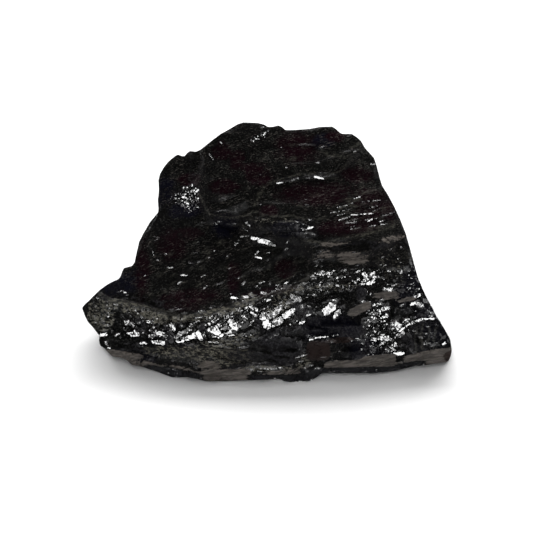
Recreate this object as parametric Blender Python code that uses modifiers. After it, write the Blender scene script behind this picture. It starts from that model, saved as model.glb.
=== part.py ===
"""A shungite nugget: one broken chunk of black, glassy carbon rock, lying on a flat natural base.

The nugget is a thick wedge. A smooth, stepped upper side rises from a low front ridge to a high
back edge, and a steep, blocky front drops from that ridge to the floor.

Frame: metres, +Z up, +X along the length, and the blocky front looks towards -Y. The origin is on
the floor, at the middle of the nugget's box. Sizes below are in millimetres until the last step.
"""

import math

import bmesh
import bpy
import numpy as np
from mathutils import Matrix, Vector, kdtree, noise

NAME = "shungite_nugget"
MM = 0.001

# The nugget's broad side, the upper side and the front together, is laid out on a drawing plane
# that passes through the frame's X axis and leans back. On it u runs along +X and v runs up.
LEAN = math.radians(32.0)
UP_THE_PLANE = Vector((0.0, math.sin(LEAN), math.cos(LEAN)))
OUT_OF_THE_PLANE = Vector((0.0, -math.cos(LEAN), math.sin(LEAN)))

# Outline of the broad side, (u, v), clockwise from the left tip.
OUTLINE = [
    (-27.7, 2.3), (-26.6, 3.3), (-25.1, 4.7), (-23.5, 5.9), (-21.8, 6.8), (-21.4, 8.0),
    (-20.4, 8.6), (-19.6, 9.2), (-19.5, 10.6), (-18.7, 12.5), (-17.8, 14.1), (-17.1, 15.5),
    (-16.2, 17.3), (-16.6, 18.9), (-16.5, 20.1), (-16.6, 22.1), (-15.8, 23.8), (-14.4, 25.1),
    (-13.4, 25.7), (-12.6, 25.1), (-12.0, 26.0), (-9.7, 26.2), (-8.5, 27.5), (-5.9, 29.4),
    (-4.4, 30.3), (-2.8, 30.6), (-0.7, 30.3), (0.5, 29.8), (1.5, 30.2), (2.4, 29.9),
    (3.0, 29.3), (5.9, 29.5), (9.0, 29.9), (10.2, 29.9), (11.1, 28.8), (12.8, 28.8),
    (14.0, 28.3), (14.9, 26.9), (15.5, 25.9), (16.5, 25.0), (16.9, 23.5), (17.2, 21.6),
    (18.3, 19.1), (19.4, 16.7), (20.3, 14.7), (20.9, 12.4), (21.3, 10.2), (22.3, 7.2),
    (23.1, 5.0), (24.4, 2.4), (25.6, 0.3), (26.9, -1.6), (27.5, -2.8), (27.6, -4.5),
    (27.0, -5.4), (24.3, -5.9), (21.3, -6.4), (17.5, -6.8), (14.6, -7.0), (10.9, -7.0),
    (8.2, -7.2), (6.8, -7.9), (3.4, -8.4), (2.0, -8.1), (-2.4, -8.0), (-4.5, -8.2),
    (-9.0, -8.1), (-10.7, -7.6), (-14.2, -7.4), (-17.2, -6.8), (-19.8, -6.2), (-20.6, -5.4),
    (-22.4, -5.1), (-23.7, -3.8), (-24.6, -3.2), (-24.8, -2.5), (-26.0, -0.2),
]

# The nugget grew as one piece. These convex lumps only describe its form: the corners of each, (x, y, z).
BENCH = [
    (-27.8, -4.6, 5.5), (-25.1, -6.1, 9.3), (-20.1, -8.3, 8.7), (-14.9, -10.3, 8.3),
    (-9.0, -11.4, 8.7), (0.5, -9.4, 11.1), (6.7, -7.5, 12.9), (-21.6, -3.4, 11.3),
    (-19.6, -0.7, 13.1), (-16.6, 5.6, 17.0), (-17.0, 11.5, 19.2), (-14.5, 13.6, 21.4),
    (-9.6, 14.2, 22.5), (6.5, 0.5, 17.0), (4.0, 12.0, 21.0), (-24.6, -9.4, 1.4),
    (-22.6, -10.6, -1.0), (-19.9, -12.0, -1.0), (-14.2, -14.2, -1.0), (-9.2, -15.4, -1.0),
    (3.4, -15.9, -1.0), (8.3, -13.8, -1.0), (8.0, 15.0, -1.0), (-9.0, 18.5, -1.0),
    (-19.0, 11.0, -1.0), (-24.0, 0.0, -1.0), (-13.0, 19.0, 9.0), (-20.0, 9.0, 9.0),
]
PLATEAU = [
    (-10.0, 5.6, 18.7), (-8.2, 2.0, 17.7), (-5.1, 0.8, 17.8), (0.5, 0.2, 18.6),
    (5.0, -0.2, 18.3), (5.7, -3.7, 16.9), (11.6, -3.2, 16.9), (15.3, -2.2, 17.1),
    (20.6, 1.4, 16.6), (18.4, 5.6, 19.0), (17.2, 10.0, 20.8), (15.6, 13.6, 22.6),
    (14.1, 15.8, 23.8), (10.3, 17.0, 24.8), (5.9, 16.8, 24.8), (-3.0, 17.6, 25.3),
    (-5.9, 16.2, 24.8), (-9.8, 12.4, 23.4), (-10.2, 14.2, 10.0), (-9.3, 6.0, 15.0),
    (-5.0, 0.2, 13.0), (5.0, -3.2, 13.0), (11.0, -4.0, 10.0), (22.0, 1.0, 8.0),
    (23.5, 7.0, 5.0), (20.0, 15.0, 6.0), (9.0, 20.5, 9.0), (-3.0, 21.0, 10.0),
    (-8.0, 19.5, -1.0), (10.0, 19.5, -1.0), (20.0, 14.0, -1.0), (23.0, 4.0, -1.0),
]
BLOCK = [
    (5.6, -3.7, 16.9), (11.6, -3.4, 16.9), (15.3, -2.4, 17.1), (20.7, 1.0, 16.5),
    (6.9, -8.1, 12.6), (12.0, -8.0, 12.6), (18.0, -6.6, 12.0), (22.5, -4.6, 11.3),
    (24.6, -8.4, 8.0), (7.6, -13.4, 3.2), (8.2, -13.9, -1.0), (15.0, -13.5, -1.0),
    (21.4, -12.5, -1.0), (27.1, -11.1, -1.0), (27.9, -9.6, 1.6), (27.2, -10.6, 4.8),
    (24.0, 4.0, -1.0), (24.0, 2.0, 8.0), (6.0, 4.0, -1.0), (6.0, 2.0, 10.0),
]

OVERSIZE = 1.035  # the lumps start a little large, so that the outline trims them all round
LUMPS_MIDDLE = (0.0, 3.0, 9.0)
VOXEL = 0.42  # edge of the mesh that the lumps are joined and carved in
FLOOR = -0.7  # height, in the lumps' own frame, at which the flat base is cut
TURN_IN = 2.0  # how far the flanks turn in at the floor
TURN_IN_FROM = 1.3  # height at which they begin to

# The rock parts most easily along its bedding, which is nearly level.
BEDDING = Vector((-0.08, -0.2, 0.97)).normalized()

# Ledges: a path on the drawing plane, how far the surface below it stands in front of (or, if
# negative, behind) the surface above it, and how far down the plane that difference runs out.
LEDGES = {
    "upper arch": ([(-3.4, 18.0), (-1.2, 19.6), (0.9, 21.0), (3.2, 21.6), (6.3, 22.1), (9.0, 22.2),
                    (11.0, 22.1), (12.1, 23.3), (13.3, 25.3)], -0.75, 6.0),
    "corner scar": ([(8.4, 26.6), (9.4, 25.6), (10.6, 25.2), (12.5, 26.0), (15.0, 26.8)], 0.7, 5.0),
    "left step": ([(-9.7, 26.2), (-9.0, 25.3), (-8.3, 22.9), (-7.5, 22.4)], 0.6, 4.0),
    "flake": ([(-9.6, 18.4), (-7.4, 18.9), (-5.2, 18.8), (-4.4, 19.8), (-2.6, 18.4)], -0.5, 2.6),
    "cluster step": ([(-14.8, 18.6), (-12.6, 19.5), (-10.2, 20.6)], -0.4, 3.5),
    "mid shelf": ([(-14.5, 6.6), (-9.4, 9.4), (-4.6, 11.0), (0.4, 13.1), (4.4, 14.2)], -0.35, 3.5),
    "low shelf": ([(-11.0, 5.2), (-5.4, 6.6), (0.4, 8.6), (4.6, 11.0)], -0.3, 3.0),
    "block brow": ([(5.6, -2.6), (6.6, -1.9), (8.4, -1.6), (10.4, -1.5), (12.4, -2.2)], 0.95, 3.6),
    "right brow": ([(18.4, -1.2), (19.6, 0.2), (21.0, 1.0), (23.2, 1.3), (25.4, 0.6)], 0.9, 5.0),
    "foot strip": ([(4.5, -6.9), (9.0, -5.7), (14.0, -4.9), (19.0, -3.9), (23.0, -3.4), (27.5, -2.7)],
                   0.5, 2.0),
    "left foot": ([(-24.0, -3.2), (-18.0, -4.4), (-12.0, -5.8), (-5.0, -6.1), (1.0, -6.7)], 0.45, 1.8),
}

# Hollows where flakes broke away: centre (u, v), length and width along and across the drawing
# plane, depth, turn of the length from +u in degrees, and which way the floor of the hollow looks:
# (degrees to the right, degrees above the drawing plane's own outward direction).
HOLLOWS = {
    "dark block": ((9.9, 1.5), 8.4, 3.4, 0.9, 4.0, (0, 26)),
    "left of block": ((1.6, -0.3), 5.4, 2.6, 0.7, 8.0, (-12, 24)),
    "under brow": ((9.0, -3.4), 3.4, 2.4, 0.35, 0.0, (6, -24)),
    "beside brow": ((11.6, -3.2), 2.6, 2.4, 0.6, 0.0, (20, 10)),
    "right hollow": ((21.2, 2.9), 4.4, 2.2, 0.7, 8.0, (8, 26)),
    "right bowl": ((22.4, -0.8), 6.6, 4.4, 0.6, 10.0, (14, 8)),
    "blob centre": ((9.2, 3.6), 3.2, 1.9, 0.35, 24.0, (0, 10)),
    "blob left": ((1.9, 2.4), 5.0, 2.2, 0.4, 18.0, (-4, 10)),
    "blob far left": ((-2.9, 3.7), 3.6, 1.6, 0.4, 10.0, (-6, 11)),
    "grey pane": ((11.4, 10.2), 7.0, 2.2, 0.3, 3.0, (0, -22)),
    "grey lens": ((17.6, 5.2), 4.8, 1.5, 0.3, 10.0, (4, -20)),
    "left hole": ((-15.0, -1.0), 2.6, 3.2, 0.8, 60.0, (10, 26)),
    "left hole two": ((-10.6, 0.6), 3.0, 1.8, 0.6, 12.0, (0, 28)),
    "foot pane": ((-6.0, -6.9), 6.4, 1.9, 0.25, 0.0, (0, -26)),
    "foot pane two": ((13.4, -5.7), 6.4, 1.8, 0.25, 3.0, (2, -26)),
    "mid dip": ((-8.5, 12.5), 11.0, 6.0, 0.4, 28.0, (-4, 28)),
    "upper dip": ((3.5, 19.4), 12.0, 3.6, 0.45, 6.0, (2, 34)),
    "top dip": ((6.0, 26.0), 9.0, 4.0, 0.4, -6.0, (4, 36)),
}

# Broad breaks on the sides and the back: a point in front of the surface, the direction that the
# break looks, its length along the bedding, its width across it and its depth.
BREAKS = {
    "right flank": ((34.0, -2.0, 9.0), (0.95, -0.25, 0.1), 13.0, 12.0, 0.9),
    "right foot": ((34.0, 3.0, 2.5), (0.9, 0.1, -0.35), 14.0, 6.0, 0.8),
    "right shoulder": ((30.0, 10.0, 15.0), (0.8, 0.35, 0.5), 12.0, 8.0, 0.9),
    "back right": ((16.0, 30.0, 12.0), (0.45, 0.85, 0.15), 12.0, 13.0, 1.0),
    "back middle": ((4.0, 30.0, 14.0), (-0.1, 0.96, 0.3), 13.0, 9.0, 1.0),
    "back foot": ((3.0, 30.0, 4.0), (0.05, 0.97, -0.25), 16.0, 7.0, 0.9),
    "back left": ((-12.0, 30.0, 10.0), (-0.4, 0.9, 0.2), 12.0, 11.0, 0.9),
    "left flank": ((-30.0, 8.0, 9.0), (-0.9, 0.3, 0.25), 12.0, 9.0, 0.8),
    "left foot back": ((-30.0, 2.0, 2.5), (-0.85, 0.3, -0.35), 11.0, 5.0, 0.7),
}

# The broken surface is made of small flat facets, longer along the bedding than across it:
# their spacing, how much longer they are, how far they tilt where the surface follows the bedding
# and where it cuts across, and the seed.
COARSE_FACETS = (5.0, 1.7, 0.02, 0.12, 7)
FINE_FACETS = (2.1, 1.9, 0.03, 0.15, 11)

TRIANGLES = 11800  # before the base is cut, which leaves about four in five of them


def clear_scene():
    """Take away whatever the file opened with."""
    for item in list(bpy.data.objects):
        bpy.data.objects.remove(item, do_unlink=True)


def make_collection(name):
    """A new collection in the scene."""
    collection = bpy.data.collections.new(name)
    bpy.context.scene.collection.children.link(collection)
    return collection


def add_object(name, mesh, collection):
    """Put a mesh in the scene as an object."""
    item = bpy.data.objects.new(name, mesh)
    collection.objects.link(item)
    return item


def hide_helper(item):
    """Mark an object as a helper that isn't part of the nugget."""
    item.hide_render = True
    item.display_type = "WIRE"


def hull(name, corners, collection):
    """A convex lump through its corners, a little oversize."""
    middle = Vector(LUMPS_MIDDLE)
    shape = bmesh.new()
    for corner in corners:
        shape.verts.new(middle + (Vector(corner) - middle) * OVERSIZE)
    made = bmesh.ops.convex_hull(shape, input=shape.verts)
    inside = [v for v in made["geom_interior"] if isinstance(v, bmesh.types.BMVert)]
    bmesh.ops.delete(shape, geom=inside, context="VERTS")
    bmesh.ops.recalc_face_normals(shape, faces=shape.faces)
    mesh = bpy.data.meshes.new(name)
    shape.to_mesh(mesh)
    shape.free()
    return add_object(name, mesh, collection)


def outline_prism(collection):
    """The outline of the broad side, run through the whole depth of the nugget."""
    curve = bpy.data.curves.new("outline", "CURVE")
    curve.dimensions = "2D"
    curve.fill_mode = "BOTH"
    curve.extrude = 60.0
    spline = curve.splines.new("POLY")
    spline.points.add(len(OUTLINE) - 1)
    for point, (u, v) in zip(spline.points, OUTLINE):
        point.co = (u, v, 0.0, 1.0)
    spline.use_cyclic_u = True
    flat = add_object("outline", curve, collection)
    bpy.context.view_layer.update()
    mesh = bpy.data.meshes.new_from_object(flat.evaluated_get(bpy.context.evaluated_depsgraph_get()))
    bpy.data.objects.remove(flat)
    across = Vector((1.0, 0.0, 0.0))
    turned = Matrix((across, UP_THE_PLANE, OUT_OF_THE_PLANE)).transposed()
    mesh.transform(turned.to_4x4())
    shape = bmesh.new()
    shape.from_mesh(mesh)
    bmesh.ops.remove_doubles(shape, verts=shape.verts, dist=0.001)
    bmesh.ops.recalc_face_normals(shape, faces=shape.faces)
    shape.to_mesh(mesh)
    shape.free()
    return add_object("outline_prism", mesh, collection)


def boolean(item, other, operation):
    """Join or intersect item with other."""
    modifier = item.modifiers.new(operation.title(), "BOOLEAN")
    modifier.operation = operation
    modifier.object = other
    hide_helper(other)


def freeze(item):
    """Apply an object's modifiers."""
    bpy.context.view_layer.update()
    done = item.evaluated_get(bpy.context.evaluated_depsgraph_get())
    mesh = bpy.data.meshes.new_from_object(done)
    item.modifiers.clear()
    item.data = mesh


def even_out(item):
    """Give an object an even mesh."""
    modifier = item.modifiers.new("Even", "REMESH")
    modifier.mode = "VOXEL"
    modifier.voxel_size = VOXEL
    freeze(item)


def rough_form(collection, helpers):
    """The lumps joined in one body, as an even mesh."""
    body = hull(NAME, BENCH, collection)
    boolean(body, hull("plateau", PLATEAU, helpers), "UNION")
    boolean(body, hull("block", BLOCK, helpers), "UNION")
    even_out(body)
    return body


def trim_to_outline(body, helpers):
    """Trim the body to the outline of its broad side."""
    even_out(body)
    boolean(body, outline_prism(helpers), "INTERSECT")
    even_out(body)


def read_points(mesh):
    """A mesh's vertices as an array."""
    flat = np.empty(len(mesh.vertices) * 3, np.float32)
    mesh.vertices.foreach_get("co", flat)
    return flat.reshape(-1, 3).astype(float)


def read_normals(mesh):
    """A mesh's vertex normals as an array."""
    flat = np.empty(len(mesh.vertices) * 3, np.float32)
    mesh.vertex_normals.foreach_get("vector", flat)
    return flat.reshape(-1, 3).astype(float)


def write_points(mesh, points):
    """Move a mesh's vertices."""
    mesh.vertices.foreach_set("co", points.astype(np.float32).ravel())
    mesh.update()


def smooth_step(x, low, high):
    """0 below low, 1 above high, and an even curve between."""
    t = np.clip((x - low) / (high - low), 0.0, 1.0)
    return t * t * (3.0 - 2.0 * t)


def on_the_plane(points):
    """(u, v) of each point on the drawing plane."""
    return np.column_stack([points[:, 0], points @ np.array(UP_THE_PLANE)])


def towards_the_front(normals):
    """1 where the surface looks out of the drawing plane, 0 where it looks away."""
    return smooth_step(normals @ np.array(OUT_OF_THE_PLANE), 0.05, 0.3)


def beside_path(uv, path):
    """For each (u, v): how far it lies below the path (negative above), and how far past its ends."""
    path = np.array(path)
    best = np.full(len(uv), np.inf)
    below = np.zeros(len(uv))
    past = np.zeros(len(uv))
    for start, end in zip(path[:-1], path[1:]):
        run = end - start
        length = np.hypot(*run)
        along = (uv - start) @ run / length
        held = np.clip(along, 0.0, length)
        offset = uv - (start + np.outer(held, run / length))
        distance = np.hypot(offset[:, 0], offset[:, 1])
        side = np.sign(run[1] * (uv - start)[:, 0] - run[0] * (uv - start)[:, 1])
        nearer = distance < best
        best[nearer] = distance[nearer]
        below[nearer] = (side * distance)[nearer]
    ends = np.minimum(
        np.hypot(*(uv - path[0]).T),
        np.hypot(*(uv - path[-1]).T),
    )
    past = smooth_step(ends, 0.0, 1.6)
    return below, past


def carve_ledges(points, normals):
    """Step the surface in or out below each ledge's path."""
    front = towards_the_front(normals)
    for path, stand, run_out in LEDGES.values():
        below, inside = beside_path(on_the_plane(points), path)
        profile = smooth_step(below, -0.25, 0.25) * (1.0 - smooth_step(below, 0.0, run_out))
        shift = stand * profile * inside * front
        points = points + np.outer(shift, np.array(OUT_OF_THE_PLANE))
    return points


def scoop(points, centre, facing, along, length, width, depth):
    """Hollow a shallow dish of that length, width and depth, whose floor looks along facing."""
    facing = np.array(facing) / np.linalg.norm(facing)
    along = np.array(along) - facing * (np.array(along) @ facing)
    along = along / np.linalg.norm(along)
    across = np.cross(facing, along)
    offset = points - centre
    reach = ((offset @ along) / (length / 2)) ** 2 + ((offset @ across) / (width / 2)) ** 2
    height = offset @ facing
    wall = np.maximum(reach - 1.0, 0.0) * width
    floor = depth * (reach - 1.0) + wall
    cut = (height > floor) & (height < 3.0 + depth)
    points[cut] += np.outer((floor - height)[cut], facing)


def turned_facing(right, above):
    """A direction turned from the drawing plane's outward one, by degrees to the right and up."""
    turn = Matrix.Rotation(math.radians(right), 3, "Z") @ Matrix.Rotation(math.radians(-above), 3, "X")
    return turn @ OUT_OF_THE_PLANE


def carve_breaks(points):
    """Break the broad faces of the sides and the back."""
    for start, facing, length, width, depth in BREAKS.values():
        start, inward = np.array(start), -np.array(facing) / np.linalg.norm(facing)
        offset = points - start
        along = offset @ inward
        aside = np.linalg.norm(offset - np.outer(along, inward), axis=1)
        centre = points[np.argmin(aside + 0.05 * along)].copy()
        level = np.cross(-inward, np.array(BEDDING))
        scoop(points, centre, -inward, level, length, width, depth)
    return points


def carve_hollows(points, normals):
    """Break away the named hollows of the broad side."""
    for (u, v), length, width, depth, turn, (right, above) in HOLLOWS.values():
        uv = on_the_plane(points)
        away = np.hypot(uv[:, 0] - u, uv[:, 1] - v) + 50.0 * (normals @ np.array(OUT_OF_THE_PLANE) < 0.1)
        centre = points[np.argmin(away)].copy()
        angle = math.radians(turn)
        along = Vector((math.cos(angle), 0.0, 0.0)) + UP_THE_PLANE * math.sin(angle)
        scoop(points, centre, turned_facing(right, above), along, length, width, depth)
    return points


def break_facets(mesh, facets):
    """Move each point onto the flat facet whose middle is nearest."""
    spacing, longer, tilt_along, tilt_across, seed = facets
    random = np.random.default_rng(seed)
    points, normals = read_points(mesh), read_normals(mesh)
    bedding = np.array(BEDDING)
    count = int(len(points) * (VOXEL / spacing) ** 2 * longer)
    in_order = np.lexsort(np.round(points, 2).T)
    middles = in_order[random.choice(len(points), count, replace=False)]
    across_bedding = 1.0 - smooth_step(normals[middles] @ bedding, 0.8, 0.93)
    tilt = np.interp(across_bedding, [0.0, 1.0], [tilt_along, tilt_across])
    facing = normals[middles] + random.normal(0.0, 1.0, (count, 3)) * tilt[:, None]
    facing /= np.linalg.norm(facing, axis=1, keepdims=True)
    stretched = points + np.outer(points @ bedding, bedding) * (longer - 1.0)
    tree = kdtree.KDTree(count)
    for place, index in enumerate(middles):
        tree.insert(stretched[index], place)
    tree.balance()
    nearest = np.array([tree.find(point)[1] for point in stretched])
    height = np.einsum("ij,ij->i", points - points[middles[nearest]], facing[nearest])
    reach = np.clip(height, -0.35 * spacing, 0.35 * spacing)
    write_points(mesh, points - facing[nearest] * reach[:, None])


def roughen(points, normals):
    """Low, irregular swell, so that no face stays flat."""
    swell = [
        0.28 * noise.noise(Vector(point) * 0.16) + 0.12 * noise.noise(Vector(point) * 0.42)
        for point in points
    ]
    return points + normals * np.array(swell)[:, None]


def turn_in_flanks(points):
    """Draw the flanks in above the floor, here more and there less."""
    middle = np.array(LUMPS_MIDDLE)
    outward = points - middle
    outward[:, 2] = 0.0
    outward /= np.maximum(np.linalg.norm(outward, axis=1, keepdims=True), 1.0)
    uneven = np.array([0.7 + 0.6 * noise.noise(Vector(point) * 0.25) for point in points])
    share = 1.0 - smooth_step(points[:, 2], FLOOR, TURN_IN_FROM)
    return points - outward * (TURN_IN * share * uneven)[:, None]


def carve_first(body):
    """The coarse carving, before the outline trims it."""
    mesh = body.data
    write_points(mesh, turn_in_flanks(read_points(mesh)))
    write_points(mesh, roughen(read_points(mesh), read_normals(mesh)))
    write_points(mesh, carve_breaks(read_points(mesh)))
    break_facets(mesh, COARSE_FACETS)


def carve(body):
    """The fine carving."""
    mesh = body.data
    write_points(mesh, carve_ledges(read_points(mesh), read_normals(mesh)))
    write_points(mesh, carve_hollows(read_points(mesh), read_normals(mesh)))
    break_facets(mesh, FINE_FACETS)


def drop_crumbs(body):
    """Delete every loose crumb, and keep the nugget."""
    shape = bmesh.new()
    shape.from_mesh(body.data)
    left = set(shape.verts)
    pieces = []
    while left:
        piece = {left.pop()}
        edge_of_piece = list(piece)
        while edge_of_piece:
            vertex = edge_of_piece.pop()
            beside = {edge.other_vert(vertex) for edge in vertex.link_edges} & left
            left -= beside
            piece |= beside
            edge_of_piece.extend(beside)
        pieces.append(piece)
    biggest = max(pieces, key=len)
    crumbs = [vertex for vertex in shape.verts if vertex not in biggest]
    bmesh.ops.delete(shape, geom=crumbs, context="VERTS")
    shape.to_mesh(body.data)
    shape.free()


def thin_out(body):
    """Keep triangles where the surface bends, and lose them where it is flat."""
    even_out(body)
    drop_crumbs(body)
    faces = sum(len(face.vertices) - 2 for face in body.data.polygons)
    fewer = body.modifiers.new("Fewer", "DECIMATE")
    fewer.ratio = TRIANGLES / faces
    fewer.use_collapse_triangulate = True
    freeze(body)


def cut_base(body):
    """Cut the natural flat base that the nugget rests on, at the floor."""
    shape = bmesh.new()
    shape.from_mesh(body.data)
    everything = list(shape.verts) + list(shape.edges) + list(shape.faces)
    cut = bmesh.ops.bisect_plane(
        shape, geom=everything, plane_co=(0, 0, FLOOR), plane_no=(0, 0, -1), clear_outer=True, dist=0.01
    )
    rim = [edge for edge in cut["geom_cut"] if isinstance(edge, bmesh.types.BMEdge)]
    filled = bmesh.ops.contextual_create(shape, geom=rim)
    bmesh.ops.triangulate(shape, faces=filled["faces"])
    bmesh.ops.remove_doubles(shape, verts=shape.verts, dist=0.004)
    bmesh.ops.recalc_face_normals(shape, faces=shape.faces)
    shape.to_mesh(body.data)
    shape.free()


def settle_at_origin(body):
    """Move the middle of the box's floor to the origin, and go from millimetres to metres."""
    points = read_points(body.data)
    low, high = points.min(axis=0), points.max(axis=0)
    middle = Vector(((low[0] + high[0]) / 2, (low[1] + high[1]) / 2, low[2]))
    body.data.transform(Matrix.Scale(MM, 4) @ Matrix.Translation(-middle))
    print("moved by", [round(x, 3) for x in -middle], "size", np.round(high - low, 2))


def dress(body):
    """Glassy, near-black rock."""
    material = bpy.data.materials.new("shungite")
    material.use_nodes = True
    shader = material.node_tree.nodes["Principled BSDF"]
    shader.inputs["Base Color"].default_value = (0.02, 0.018, 0.018, 1.0)
    shader.inputs["Roughness"].default_value = 0.28
    shader.inputs["Metallic"].default_value = 0.0
    shader.inputs["IOR"].default_value = 1.9
    body.data.materials.clear()
    body.data.materials.append(material)
    body.data.shade_flat()


def main():
    """Build the nugget."""
    clear_scene()
    nugget = make_collection("shungite nugget")
    helpers = make_collection("helpers")
    body = rough_form(nugget, helpers)
    carve_first(body)
    trim_to_outline(body, helpers)
    carve(body)
    thin_out(body)
    cut_base(body)
    drop_crumbs(body)
    settle_at_origin(body)
    dress(body)


main()
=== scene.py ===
"""The looks of a shungite nugget: its broken, glassy surface, and the plain studio that it lies in.

The nugget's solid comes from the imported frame. This script breaks its surface up into layers,
ledges, chips and facets, down to a quarter of a millimetre, and gives it its near-black, glassy
finish. Lengths on the nugget and the camera's place are in millimetres, and become metres where they
reach a mesh or the camera. The lamps and the table are measured in metres. Angles are in degrees.
"""

import logging
import math
from dataclasses import dataclass, field, replace
from enum import Enum
from typing import Sequence, Union

import bmesh
import bpy
import numpy as np
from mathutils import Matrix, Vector, kdtree


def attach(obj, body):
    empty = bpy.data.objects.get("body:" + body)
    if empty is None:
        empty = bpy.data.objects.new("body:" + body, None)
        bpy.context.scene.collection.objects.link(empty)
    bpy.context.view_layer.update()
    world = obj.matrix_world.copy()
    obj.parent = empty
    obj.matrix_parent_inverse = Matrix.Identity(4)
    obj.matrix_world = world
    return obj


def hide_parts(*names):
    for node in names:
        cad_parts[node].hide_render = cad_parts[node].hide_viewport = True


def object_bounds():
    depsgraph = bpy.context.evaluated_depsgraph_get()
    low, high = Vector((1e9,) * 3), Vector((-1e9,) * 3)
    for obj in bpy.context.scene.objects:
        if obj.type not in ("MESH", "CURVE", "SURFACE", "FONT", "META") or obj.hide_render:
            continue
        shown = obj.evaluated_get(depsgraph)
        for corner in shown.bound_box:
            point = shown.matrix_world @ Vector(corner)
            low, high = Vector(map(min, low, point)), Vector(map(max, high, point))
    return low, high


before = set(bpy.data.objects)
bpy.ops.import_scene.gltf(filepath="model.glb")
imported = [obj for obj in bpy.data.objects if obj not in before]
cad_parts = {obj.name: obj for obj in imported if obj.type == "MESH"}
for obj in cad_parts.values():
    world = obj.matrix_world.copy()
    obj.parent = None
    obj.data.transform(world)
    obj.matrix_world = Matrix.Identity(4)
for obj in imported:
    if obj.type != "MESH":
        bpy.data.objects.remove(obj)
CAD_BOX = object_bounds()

log = logging.getLogger("nugget")

MM = 0.001
Colour = tuple[float, float, float]
Point = tuple[float, float]
Span = tuple[float, float]


def smooth_step(x: np.ndarray, low: float, high: float) -> np.ndarray:
    """Rise from 0 at low to 1 at high, with no corners.

    Args:
        x: the values to shape.
        low: where the rise begins.
        high: where the rise ends.

    Returns:
        The shaped values, from 0 to 1.
    """
    t = np.clip((x - low) / (high - low), 0.0, 1.0)
    return t * t * (3.0 - 2.0 * t)


def unit(vectors: np.ndarray) -> np.ndarray:
    """The same vectors, at length 1."""
    return vectors / np.maximum(np.linalg.norm(vectors, axis=-1, keepdims=True), 1e-9)


def direction(right: float, above: float) -> np.ndarray:
    """A direction out of the nugget, by its bearing and its height.

    Args:
        right: degrees to the right of the front, as seen from the front.
        above: degrees above the horizon.

    Returns:
        A vector of length 1.
    """
    bearing, height = math.radians(right), math.radians(above)
    return np.array(
        [
            math.sin(bearing) * math.cos(height),
            -math.cos(bearing) * math.cos(height),
            math.sin(height),
        ]
    )


def turned(degrees: float) -> tuple[np.ndarray, np.ndarray]:
    """The two axes of the broad side, turned: one along the turn, and one across it."""
    angle = math.radians(degrees)
    return np.array([math.cos(angle), math.sin(angle)]), np.array([-math.sin(angle), math.cos(angle)])


def lattice(cells: np.ndarray, seed: int) -> np.ndarray:
    """A fixed random number from -1 to 1 for each cell of a lattice.

    The large numbers are primes, which scramble the cell's own numbers.

    Args:
        cells: whole numbers, three to a row.
        seed: which set of random numbers to draw.

    Returns:
        One number for each row.
    """
    mixed = cells[:, 0] * 374761393 + cells[:, 1] * 668265263 + cells[:, 2] * 1440662683
    mixed = (mixed + seed * 974634777) & 0xFFFFFFFF
    mixed = ((mixed ^ (mixed >> 13)) * 1274126177) & 0xFFFFFFFF
    return ((mixed ^ (mixed >> 16)) & 0xFFFF) / 32767.5 - 1.0


def swell(points: np.ndarray, size: float, seed: int) -> np.ndarray:
    """Soft noise in space.

    Args:
        points: where to read it.
        size: the distance between its hills.
        seed: which noise to read.

    Returns:
        One number from -1 to 1 for each point.
    """
    place = points / size
    corner = np.floor(place).astype(np.int64)
    within = place - corner
    eased = within * within * (3.0 - 2.0 * within)
    total = np.zeros(len(points))
    for step in np.ndindex(2, 2, 2):
        share = np.prod(np.where(np.array(step) == 1, eased, 1.0 - eased), axis=1)
        total += share * lattice(corner + np.array(step), seed)
    return total


@dataclass(frozen=True)
class BroadSide:
    """The plane on which the nugget's upper side and front are laid out: u runs right, v runs up.

    Attributes:
        origin: where u and v are 0.
        lean: how far above the horizon the plane looks.
        edge: how far a surface looks out of the plane where it begins to count, and counts in full.
    """

    origin: tuple[float, float, float] = (-0.224, -3.025, 0.706)
    lean: float = 32.0
    edge: Span = (0.02, 0.25)

    @property
    def outward(self) -> np.ndarray:
        """The way the plane looks."""
        return direction(0.0, self.lean)

    @property
    def upward(self) -> np.ndarray:
        """The way v runs."""
        return -direction(0.0, self.lean - 90.0)

    def lay(self, points: np.ndarray) -> np.ndarray:
        """(u, v) of points in space."""
        offset = points - np.array(self.origin)
        return np.column_stack([offset[:, 0], offset @ self.upward])

    def faced(self, normals: np.ndarray) -> np.ndarray:
        """1 where a surface looks out of the plane, 0 where it looks away."""
        return smooth_step(normals @ self.outward, *self.edge)


SIDE = BroadSide()


@dataclass(frozen=True)
class View:
    """The camera's place, which looks down at the nugget's broad side.

    Attributes:
        middle: what it looks at.
        distance: how far away it is.
        lens: its focal length.
        sensor: how wide its sensor is.
        dots: how many dots the frame is across.
    """

    middle: tuple[float, float, float] = (-0.224, -3.025, 10.706)
    distance: float = 334.0
    lens: float = 150.0
    sensor: float = 36.0
    dots: int = 533

    @property
    def place(self) -> np.ndarray:
        """Where the camera is."""
        return np.array(self.middle) + SIDE.outward * self.distance

    def seen(self, points: np.ndarray) -> tuple[np.ndarray, np.ndarray]:
        """Where points show in the frame.

        Args:
            points: places in space.

        Returns:
            Dots right and down from the frame's upper left corner, and dots to a millimetre there.
        """
        offset = points - self.place
        scale = self.lens / self.sensor * self.dots / -(offset @ SIDE.outward)
        right = self.dots / 2 + offset[:, 0] * scale
        down = self.dots / 2 - offset @ SIDE.upward * scale
        return np.column_stack([right, down]), scale


VIEW = View()


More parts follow.
